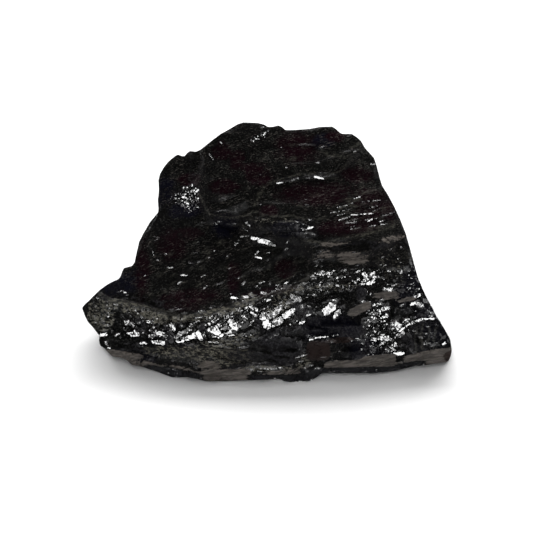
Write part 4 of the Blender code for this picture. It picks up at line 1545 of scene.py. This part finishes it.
    def worn_sheen_and_polish(self, uv: np.ndarray, chips: Sequence[Flake]) -> tuple[np.ndarray, np.ndarray]:
        """How far the surface is worn and painted with pale lines that stand for a faint sheen, and how
        far it is polished.

        Args:
            uv: the points' places on the broad side.
            chips: the flakes, whose glints and sheens are polished and whose worn marks are worn and
                painted pale.

        Returns:
            Two shares for each point, from 0 to 1.
        """
        worn_sheen = np.zeros(len(uv))
        polished = np.zeros(len(uv))
        gleams = {GLINT: 1.0, SHEEN: 0.6}
        for flake in chips:
            if flake.facing is DARK:
                continue
            line = on_line((flake.start, flake.end), uv, flake.width * 1.4)
            if flake.facing is WORN_SHEEN:
                worn_sheen = np.maximum(worn_sheen, 0.5 * line)
            else:
                polished = np.maximum(polished, gleams[flake.facing] * line)
        for ledge in LEDGES:
            worn_sheen = np.maximum(worn_sheen, ledge.worn_sheen * on_line(ledge.line, uv, ledge.mark))
        return worn_sheen, polished

    def mark(self, skin: Skin, chips: Sequence[Flake]) -> None:
        """Leave the masks on the surface from which the finish is mixed.

        Args:
            skin: the carved surface.
            chips: all its flakes.
        """
        uv = skin.uv
        outward = skin.normals @ SIDE.outward
        front = SIDE.faced(skin.normals)
        hidden = 1.0 - front
        worn_sheen, polished = self.worn_sheen_and_polish(uv, chips)
        height = skin.points[:, 2] + 0.5 * swell(skin.points, 3.0, 81)
        # Painted shade along the foot: the foot patches and the lowest band of the base.
        painted_foot_shade = np.maximum(cover(FOOT_SHADE_PATCHES, uv), 1.0 - smooth_step(skin.points[:, 2], 0.2, 0.4))
        # Painted reflection of the table: a band along the bottom that takes the clay colour.
        table_reflection_band = 0.62 * (1.0 - smooth_step(height, 1.6, 2.6))
        reddish = 0.6 * hidden * smooth_step(swell(skin.points, 4.0, 91), 0.0, 0.4)
        bluish = hidden * smooth_step(swell(skin.points, 5.0, 92), 0.1, 0.5)
        dusty = cover(DUSTY, uv) * (1.0 - 0.7 * cover(BRIGHT, uv))
        glitter = cover(GLITTER, uv)
        masks = {
            "worn_sheen": worn_sheen * front,
            "polished": polished * front,
            "satin_and_table_reflection": np.maximum(cover(SATIN_AND_TABLE_REFLECTION, uv), table_reflection_band) * (1.0 - painted_foot_shade) * front,
            "painted_foot_shade": painted_foot_shade,
            "umber": cover(UMBER, uv) * front,
            "flat": smooth_step(skin.normals @ self.layers.facing, 0.7, 0.9),
            "dusty": dusty * (1.0 - painted_foot_shade) * front,
            "edge": smooth_step(skin.convex, 0.08, 0.35),
            "level": smooth_step(uv[:, 1] - 0.28 * uv[:, 0], 9.0, 12.0),
            "shaded": cover(SHADED, uv) * front,
            "maroon": cover(MAROON, uv) * front + reddish,
            "blue": cover(BLUE, uv) * front + bluish,
            "glitter": glitter * front,
            "calm": cover(CALM, uv) * (1.0 - glitter) * smooth_step(outward, -0.1, 0.1),
            "painted_stripe_glints": cover(STRIPE_GLINTS, uv) * front,
        }
        for name, values in masks.items():
            skin.keep(name, values)

    def build(self) -> bpy.types.Object:
        """Carve the nugget, and put it in the frame in the solid's place.

        Returns:
            The piece.
        """
        scattered = [flake for scatter in SCATTERS for flake in scatter.flakes()]
        skin = self.carve(scattered)
        self.mark(skin, (*scattered, *NAMED_FLAKES))
        skin.mesh.set_sharp_from_angle(angle=math.radians(self.crease))
        piece = bpy.data.objects.new("nugget", skin.mesh)
        bpy.context.scene.collection.objects.link(piece)
        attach(piece, "root")
        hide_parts("shungite_nugget")
        return piece

    def dress(self, piece: bpy.types.Object, finish: "ShungiteFinish") -> None:
        """Give the piece its finish, and nothing else."""
        piece.data.materials.clear()
        piece.data.materials.append(finish.material())


Socket = bpy.types.NodeSocket
Operand = Union["Value", float]
Tint = Union[Colour, Socket]


class Value:
    """A number that varies over a surface, with the usual operators."""

    def __init__(self, tree: "Tree", socket: Socket) -> None:
        """Wrap an output socket."""
        self.tree = tree
        self.socket = socket

    def _join(self, operation: str, first: Operand, second: Operand) -> "Value":
        """One Math node on two numbers."""
        node = self.tree.node("ShaderNodeMath", {"operation": operation}, {0: first, 1: second})
        return Value(self.tree, node.outputs[0])

    def __add__(self, other: Operand) -> "Value":
        """Sum."""
        return self._join("ADD", self, other)

    def __radd__(self, other: Operand) -> "Value":
        """Sum, from the right."""
        return self._join("ADD", other, self)

    def __sub__(self, other: Operand) -> "Value":
        """Difference."""
        return self._join("SUBTRACT", self, other)

    def __rsub__(self, other: Operand) -> "Value":
        """Difference, from the right."""
        return self._join("SUBTRACT", other, self)

    def __mul__(self, other: Operand) -> "Value":
        """Product."""
        return self._join("MULTIPLY", self, other)

    def __rmul__(self, other: Operand) -> "Value":
        """Product, from the right."""
        return self._join("MULTIPLY", other, self)

    def rise(self, low: float, high: float) -> "Value":
        """Shape the number.

        Args:
            low: where the rise begins.
            high: where the rise ends.

        Returns:
            0 below low and 1 above high, with a rise between that has no corners.
        """
        node = self.tree.node(
            "ShaderNodeMapRange",
            {"interpolation_type": "SMOOTHSTEP"},
            {"Value": self, "From Min": low, "From Max": high},
        )
        return Value(self.tree, node.outputs["Result"])


class Tree:
    """A material's nodes while they are being laid out."""

    def __init__(self, name: str) -> None:
        """Start a material with nothing but the surface's own places."""
        self.material = bpy.data.materials.new(name)
        self.material.use_nodes = True
        self.nodes = self.material.node_tree.nodes
        self.links = self.material.node_tree.links
        self.nodes.clear()
        self.place = self.node("ShaderNodeTexCoord", {}, {}).outputs["Object"]

    def node(self, kind: str, settings: dict, inputs: dict) -> bpy.types.Node:
        """Add a node.

        Args:
            kind: the node's type.
            settings: its own settings by name, set before its sockets.
            inputs: a value, a Value or an output socket for each input, by name or number.

        Returns:
            The node.
        """
        made = self.nodes.new(kind)
        for name, value in settings.items():
            setattr(made, name, value)
        for name, value in inputs.items():
            if isinstance(value, Value):
                self.links.new(value.socket, made.inputs[name])
            elif isinstance(value, Socket):
                self.links.new(value, made.inputs[name])
            else:
                made.inputs[name].default_value = value
        return made

    def vector(self, operation: str, inputs: dict) -> Socket:
        """The result of one Vector Math node that gives a vector."""
        return self.node("ShaderNodeVectorMath", {"operation": operation}, inputs).outputs[0]

    def noise(self, size: float, detail: float = 2.0, rough: float = 0.5) -> Value:
        """Soft noise whose features are about size millimetres wide."""
        inputs = {"Vector": self.place, "Scale": 1.0 / (size * MM), "Detail": detail, "Roughness": rough}
        return Value(self, self.node("ShaderNodeTexNoise", {}, inputs).outputs["Fac"])

    def streaks(self, size: float, aspect: float, detail: float, turn: float = 28.0) -> Value:
        """Soft noise whose features are long one way on the broad side.

        Args:
            size: how wide they are, in millimetres.
            aspect: how many times longer than wide they are.
            detail: how many finer noises are added.
            turn: how many degrees they rise to the right.

        Returns:
            The noise, from 0 to 1.
        """
        level = np.array([1.0, 0.0, 0.0])
        angle = math.radians(turn)
        along = level * math.cos(angle) + SIDE.upward * math.sin(angle)
        across = SIDE.upward * math.cos(angle) - level * math.sin(angle)
        axes = {"X": along / aspect, "Y": across, "Z": SIDE.outward}
        laid = {}
        for axis, way in axes.items():
            inputs = {0: self.place, 1: tuple(way)}
            dot = self.node("ShaderNodeVectorMath", {"operation": "DOT_PRODUCT"}, inputs)
            laid[axis] = dot.outputs["Value"]
        vector = self.node("ShaderNodeCombineXYZ", {}, laid).outputs[0]
        inputs = {"Vector": vector, "Scale": 1.0 / (size * MM), "Detail": detail, "Roughness": 0.6}
        return Value(self, self.node("ShaderNodeTexNoise", {}, inputs).outputs["Fac"])

    def cells(self, size: float) -> Socket:
        """A random colour for each of the small cells, about size millimetres wide, that fill space."""
        inputs = {"Vector": self.place, "Scale": 1.0 / (size * MM)}
        return self.node("ShaderNodeTexVoronoi", {"feature": "F1"}, inputs).outputs["Color"]

    def mask(self, name: str) -> Value:
        """A mask that the mesh carries."""
        return Value(self, self.node("ShaderNodeAttribute", {"attribute_name": name}, {}).outputs["Fac"])

    def blend(self, share: Operand, first: Tint, second: Tint) -> Socket:
        """A colour between two, by share."""
        inputs = {0: share, 6: _rgba(first), 7: _rgba(second)}
        return self.node("ShaderNodeMix", {"data_type": "RGBA"}, inputs).outputs[2]

    def surface(self, shader: bpy.types.Node) -> None:
        """Show a shader on the surface."""
        self.node("ShaderNodeOutputMaterial", {}, {"Surface": shader.outputs[0]})


def _rgba(colour: Tint) -> Union[tuple, Socket]:
    """A colour with its alpha, or the socket that it comes from."""
    return colour if isinstance(colour, Socket) else (*colour, 1.0)


class Dressing:
    """The nugget's material while it is mixed from noises and from the masks that the mesh carries.

    Attributes:
        finish: its colours and its gloss.
        tree: its nodes.
        flat: 1 where the surface lies along the bedding.
        level: 1 on the upper face, where streaks lie flatter.
        painted_foot_shade: 1 on the foot, where shade is painted.
        worn_sheen: how far each place is worn and painted with a pale line that stands for a faint sheen.
        plain: 1 outside the shaded hollows.
        polished: how far a flake is polished.
        uncut: 1 where no flake is polished.
        calm: where the gloss is dulled.
        speck, fine, grit, coarse, lying: noises, from 0 to 1.
        gathered: where specks gather: more than 1 there, and less elsewhere.
        satin_and_table_reflection, umber: the patches, with ragged edges; the first holds the satin
            patches and the painted reflection of the table along the bottom.
        blush, bluish: the maroon and the blue stain.
        dusty: where dust can lie.
        dusted: where it lies.
    """

    def __init__(self, finish: "ShungiteFinish") -> None:
        """Lay out what more than one part of the material uses."""
        self.finish = finish
        self.tree = tree = Tree("shungite")
        self.flat = tree.mask("flat")
        self.level = tree.mask("level")
        self.painted_foot_shade = tree.mask("painted_foot_shade")
        self.worn_sheen = tree.mask("worn_sheen")
        self.plain = 1.0 - tree.mask("shaded")
        self.polished = tree.mask("polished")
        self.uncut = 1.0 - self.polished
        self.calm = tree.mask("calm") * self.uncut
        self.speck = tree.streaks(0.22, 2.0, 3.0)
        self.fine = tree.noise(0.3, 3.0)
        self.grit = tree.noise(0.16, 2.0, 0.7)
        self.coarse = tree.noise(0.34, 4.0, 0.75)
        self.lying = tree.streaks(0.34, 6.0, 3.0, 9.0)
        self.gathered = tree.noise(2.2, 3.0, 0.6).rise(0.35, 0.65) * 0.9 + 0.45
        self.lay_patches()
        self.lay_stains()
        self.lay_dust()

    def lay_patches(self) -> None:
        """The satin patches, with the painted reflection of the table along the bottom, and the umber
        patches, with ragged edges.
        """
        ragged = (self.lying - 0.5) * 0.9 + (self.fine - 0.5) * 0.5
        self.satin_and_table_reflection = (self.tree.mask("satin_and_table_reflection") + ragged).rise(0.42, 0.58)
        self.umber = (self.tree.mask("umber") + ragged).rise(0.35, 0.65)

    def lay_stains(self) -> None:
        """The faint maroon and blue stains: where one is strong, the other is weak."""
        mottle = (self.tree.noise(1.4, 5.0, 0.7) - 0.5) * 1.6
        mottle = mottle + (self.fine - 0.5) * 0.9
        self.blush = (self.tree.mask("maroon") * 0.8 + mottle).rise(0.1, 1.0)
        self.bluish = (self.tree.mask("blue") * 0.8 - mottle).rise(0.1, 1.0)

    def lay_dust(self) -> None:
        """The dust: where it can lie, and the flecks that it lies in."""
        dusty = self.tree.mask("dusty")
        flecked = self.tree.streaks(0.32, 2.4, 4.0, -8.0)
        covering = (flecked + (dusty - 1.0) * 0.1).rise(0.49, 0.56)
        self.dusty = (dusty + (self.fine - 0.5) * 1.2).rise(0.35, 0.75) * self.uncut
        self.dusted = self.dusty * covering * (0.2 + self.grit.rise(0.42, 0.62) * 0.75)

    def material(self) -> bpy.types.Material:
        """Make the finish: a glossy shader and a dull one, mixed over the surface.

        Returns:
            The material.
        """
        colour = self.colour()
        glossy = {
            "Base Color": colour,
            "Roughness": self.roughness(),
            "IOR": self.finish.index,
            "Normal": self.sparkling(),
        }
        pitted = {"Base Color": colour, "Roughness": 1.0, "Specular IOR Level": 0.0}
        gloss = self.tree.node("ShaderNodeBsdfPrincipled", {}, glossy)
        pits = self.tree.node("ShaderNodeBsdfPrincipled", {}, pitted)
        shares = {0: self.dullness(), 1: gloss.outputs[0], 2: pits.outputs[0]}
        self.tree.surface(self.tree.node("ShaderNodeMixShader", {}, shares))
        return self.tree.material

    def colour(self) -> Socket:
        """The colour: the rock's, with its painted light, and over it each coat by its share, some of
        them painted light and shade.

        Returns:
            The colour's socket.
        """
        clay = self.satin_and_table_reflection * (0.4 + self.lying.rise(0.4, 0.64) * 0.5) * (1.0 - self.level * 0.45)
        coats = (
            (self.ashes(), self.finish.ash),
            (self.dashes() * 0.32, self.finish.clay),
            # Painted shade: no dust in the shaded hollows.
            (self.dusted * self.plain, self.finish.dust),
            # Clay on the satin patches, and along the bottom as painted reflection of the table.
            (clay, self.finish.clay),
            (self.umber * (0.6 + self.fine * 0.6), self.finish.umber),
            # Painted shade along the foot.
            (self.painted_foot_shade * 0.9, self.finish.foot_shade_colour),
            # Worn marks: pale lines painted for a faint sheen.
            (self.worn_sheen * self.speck.rise(0.4, 0.6) * 0.27, self.finish.dust),
        )
        colour = self.rock()
        for share, coat in coats:
            colour = self.tree.blend(share, colour, coat)
        return colour

    def rock(self) -> Socket:
        """The rock's colour: near-black, with painted light in the shaded hollows and on calm steep
        faces, and faint stains.

        Returns:
            The colour's socket.
        """
        blend = self.tree.blend
        hollow = (1.0 - self.plain) * (1.0 - self.flat) * self.uncut
        hollow_light_share = hollow * (self.coarse.rise(0.44, 0.6) * 0.75 + 0.2)
        # Calm faces take soot where level, and a lighter colour where steep, which is painted light for
        # the little lamplight that steep faces get.
        colour = blend(self.calm, self.finish.black, blend(self.flat, self.finish.painted_steep_light, self.finish.soot))
        colour = blend(self.bluish, colour, self.finish.blue)
        # Painted light: the shaded hollows are lifted towards a grey, in mottled patches.
        colour = blend(hollow_light_share, colour, self.finish.painted_hollow_light)
        return blend(self.blush, colour, self.finish.maroon)

    def ashes(self) -> Value:
        """The grey ash: specks, thin streaks and coarse clumps; painted glints along the stripes and
        painted highlights on the edges of facets; and painted shade, with less ash in the shaded hollows
        and on the foot.

        Returns:
            The share of ash at each place.
        """
        thin = self.tree.streaks(0.2, 9.0, 2.0, 26.0)
        glinting_stripes = self.tree.streaks(0.17, 18.0, 2.0, 13.0).rise(0.56, 0.62)
        ashes = self.grit.rise(0.55, 0.8) * 0.3 + self.speck.rise(0.54, 0.74) * 0.3
        ashes = ashes + thin.rise(0.56, 0.7) * (1.0 - self.level) * 0.3
        ashes = (ashes + self.coarse.rise(0.52, 0.68) * 0.45) * self.gathered
        # Painted glints: pale ash lines along the striations.
        ashes = ashes + self.tree.mask("painted_stripe_glints") * glinting_stripes * 0.65
        ashes = ashes * (1.05 - self.blush * 0.6) * (1.0 - self.bluish * 0.4)
        # Painted highlight: pale ash along convex edges.
        ashes = ashes + self.tree.mask("edge") * 0.15
        # Painted shade: half the ash in the shaded hollows, and little on the foot.
        return ashes * (0.5 + self.plain * 0.5) * (1.0 - self.painted_foot_shade * 0.8) * self.uncut

    def dashes(self) -> Value:
        """The short pale dashes on the calm faces, which lie flatter on the upper face.

        Returns:
            1 on a dash, 0 beside it.
        """
        dashed = self.tree.streaks(0.15, 4.5, 2.0, 28.0)
        dashed = dashed + (self.tree.streaks(0.15, 5.0, 2.0, 16.0) - dashed) * self.level
        gathered = dashed + (self.gathered - 0.9) * 0.06
        return gathered.rise(0.62, 0.67) * self.calm * self.plain

    def roughness(self) -> Value:
        """How rough the gloss is.

        Returns:
            The roughness, higher in streaks and wherever something lies on the rock.
        """
        rising = self.tree.streaks(0.4, 5.0, 3.0, 28.0)
        streak = rising + (self.lying - rising) * self.level
        rough = streak * 0.14 + (self.finish.glassy - 0.07) + self.dusted * 0.4 + self.dusty * 0.08
        rough = rough + self.worn_sheen * 0.4 + self.umber * 0.3 + self.calm * 0.1
        return rough + self.satin_and_table_reflection * (self.finish.matt - self.finish.glassy)

    def dullness(self) -> Value:
        """How far the gloss gives way to the dull shader.

        Returns:
            The dull shader's share.
        """
        pitted = self.grit.rise(0.5, 0.7) * 0.4 + self.coarse.rise(0.5, 0.62) * 0.35
        dull = pitted * self.uncut + self.satin_and_table_reflection * 0.5 + self.umber * 0.5 + self.dusted * 0.5
        dull = dull + (1.0 - self.plain) * self.uncut * 0.6
        return dull + self.calm * 0.8 + self.painted_foot_shade * 0.5

    def sparkling(self) -> Socket:
        """The surface's normals, turned a little in each of many tiny cells, and far in a few.

        Returns:
            The normals' socket.
        """
        way = self.tree.vector("SUBTRACT", {0: self.tree.cells(0.22), 1: (0.5, 0.5, 0.5)})
        heavy = self.tree.vector("MULTIPLY", {0: self.tree.vector("MULTIPLY", {0: way, 1: way}), 1: way})
        amount = (1.0 - self.flat * 0.5) * (self.finish.sparkle * 8.0) + self.tree.mask("glitter") * 2.5
        amount = amount * (1.0 - self.polished * 0.5)
        scaled = self.tree.vector("SCALE", {0: heavy, "Scale": amount})
        normal = self.tree.node("ShaderNodeNewGeometry", {}, {}).outputs["Normal"]
        return self.tree.vector("NORMALIZE", {0: self.tree.vector("ADD", {0: normal, 1: scaled})})


@dataclass(frozen=True)
class ShungiteFinish:
    """Glassy, near-black carbon rock.

    Attributes:
        black: the rugged faces, which gleam.
        soot: the calm faces, where they are level.
        painted_steep_light: the calm faces where they are steep, lighter than soot: painted light for the
            little lamplight that they get.
        painted_hollow_light: painted light in the shaded hollows.
        foot_shade_colour: painted shade along the foot.
        maroon: one faint stain.
        blue: the other.
        ash: the grey specks, the painted glints of the stripes, and painted highlights on edges.
        dust: the olive dust, and the pale lines painted on worn marks for a faint sheen.
        clay: the satin patches, and the painted reflection of the table along the bottom.
        umber: the brown chip.
        glassy: the roughness of the gloss.
        matt: the roughness of the satin patches.
        index: the gloss's index of refraction.
        sparkle: how far the tiny facets turn.
    """

    black: Colour = (0.0014, 0.0014, 0.0015)
    soot: Colour = (0.0026, 0.0026, 0.0025)
    painted_steep_light: Colour = (0.0065, 0.0063, 0.0068)
    painted_hollow_light: Colour = (0.036, 0.035, 0.039)
    foot_shade_colour: Colour = (0.022, 0.0222, 0.024)
    maroon: Colour = (0.0052, 0.0013, 0.0026)
    blue: Colour = (0.0024, 0.0024, 0.0056)
    ash: Colour = (0.042, 0.0418, 0.038)
    dust: Colour = (0.2, 0.189, 0.153)
    clay: Colour = (0.14, 0.1245, 0.112)
    umber: Colour = (0.024, 0.0172, 0.0158)
    glassy: float = 0.15
    matt: float = 0.8
    index: float = 1.6
    sparkle: float = 0.12

    def material(self) -> bpy.types.Material:
        """The finish as a material."""
        return Dressing(self).material()


@dataclass(frozen=True)
class Lamp:
    """A soft, flat lamp that looks at the nugget.

    Attributes:
        name: what it is for.
        bearing: how far to the right of the front it hangs.
        height: how far above the horizon.
        distance: how far from the nugget, in metres.
        wide: how wide it is, in metres.
        tall: how tall it is, in metres.
        power: how strong it is, in watts.
        mirrored: whether the gloss mirrors it, or it lights the dull stone and the table.
    """

    name: str
    bearing: float
    height: float
    distance: float
    wide: float
    tall: float
    power: float
    mirrored: bool

    @property
    def place(self) -> np.ndarray:
        """Where it hangs, in metres."""
        return direction(self.bearing, self.height) * self.distance

    def build(self) -> None:
        """Hang the lamp."""
        light = bpy.data.lights.new(self.name, "AREA")
        light.shape = "RECTANGLE"
        light.size = self.wide
        light.size_y = self.tall
        light.energy = self.power
        lamp = bpy.data.objects.new(self.name, light)
        outward = Vector(direction(self.bearing, self.height))
        lamp.location = outward * self.distance
        lamp.rotation_euler = outward.to_track_quat("Z", "Y").to_euler()
        lamp.visible_glossy = self.mirrored
        lamp.visible_diffuse = not self.mirrored
        bpy.context.scene.collection.objects.link(lamp)


@dataclass(frozen=True)
class Studio:
    """A white table, soft lamps round it, and the camera.

    Attributes:
        table: how wide the table is, in metres.
        white: the table's colour.
        glow: how strongly the table glows.
        haze: how strong the room's own light is.
        key: the lamp that the glints mirror.
        lamps: the others.
    """

    table: float = 3.0
    white: float = 0.9
    glow: float = 0.03
    haze: float = 0.03
    key: Lamp = Lamp("key", -8.0, 42.0, 0.6, 0.13, 0.13, 1.3, True)
    lamps: tuple[Lamp, ...] = (
        Lamp("sheen", -5.0, 36.0, 0.6, 0.7, 0.4, 1.1, True),
        Lamp("left gleam", -120.0, 28.0, 0.6, 0.22, 0.22, 0.35, True),
        Lamp("right gleam", 120.0, 28.0, 0.6, 0.22, 0.22, 0.35, True),
        Lamp("back gleam", 180.0, 22.0, 0.6, 0.2, 0.2, 0.6, True),
        Lamp("front", -8.0, 42.0, 0.6, 0.3, 0.3, 1.3, False),
        Lamp("left side", -106.0, 44.0, 1.2, 0.7, 0.7, 2.4, False),
        Lamp("right side", 106.0, 44.0, 1.2, 0.7, 0.7, 2.4, False),
        Lamp("back", 180.0, 43.0, 1.4, 2.6, 0.6, 48.0, False),
    )

    def floor(self) -> None:
        """Lay the table, which the gloss doesn't mirror."""
        shape = bmesh.new()
        bmesh.ops.create_grid(shape, x_segments=8, y_segments=8, size=self.table / 2)
        mesh = bpy.data.meshes.new("table")
        shape.to_mesh(mesh)
        shape.free()
        table = bpy.data.objects.new("table", mesh)
        bpy.context.scene.collection.objects.link(table)
        table.visible_glossy = False
        tree = Tree("white table")
        finish = {
            "Base Color": (self.white, self.white, self.white, 1.0),
            "Roughness": 0.9,
            "Emission Color": (1.0, 1.0, 1.0, 1.0),
            "Emission Strength": self.glow,
        }
        tree.surface(tree.node("ShaderNodeBsdfPrincipled", {}, finish))
        mesh.materials.append(tree.material)

    def camera(self) -> None:
        """Set up the camera, which looks down at the nugget's broad side."""
        data = bpy.data.cameras.new("camera")
        data.lens = VIEW.lens
        data.sensor_width = VIEW.sensor
        data.clip_start = 0.01
        camera = bpy.data.objects.new("camera", data)
        camera.location = Vector(VIEW.place) * MM
        camera.rotation_euler = Vector(SIDE.outward).to_track_quat("Z", "Y").to_euler()
        bpy.context.scene.collection.objects.link(camera)
        bpy.context.scene.camera = camera

    def air(self) -> None:
        """Give the room its own faint light."""
        world = bpy.data.worlds.new("room")
        bpy.context.scene.world = world
        world.use_nodes = True
        background = world.node_tree.nodes["Background"]
        background.inputs["Color"].default_value = (1.0, 1.0, 1.0, 1.0)
        background.inputs["Strength"].default_value = self.haze

    def mirror(self) -> Mirror:
        """Where the key lamp and the camera are, in millimetres."""
        return Mirror(self.key.place / MM, VIEW.place)

    def build(self) -> None:
        """Set the studio up."""
        self.camera()
        self.floor()
        self.air()
        for lamp in (self.key, *self.lamps):
            lamp.build()
        bpy.context.scene.view_settings.view_transform = "Standard"


def main() -> None:
    """Build the studio and the nugget."""
    logging.basicConfig(level=logging.INFO, format="%(name)s: %(message)s")
    studio = Studio()
    studio.build()
    log.info("studio: %d lamps", len(studio.lamps) + 1)
    nugget = Nugget(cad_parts["shungite_nugget"], studio.mirror())
    piece = nugget.build()
    nugget.dress(piece, ShungiteFinish())
    log.info("nugget: %d faces", len(piece.data.polygons))


if __name__ == "__main__":
    main()
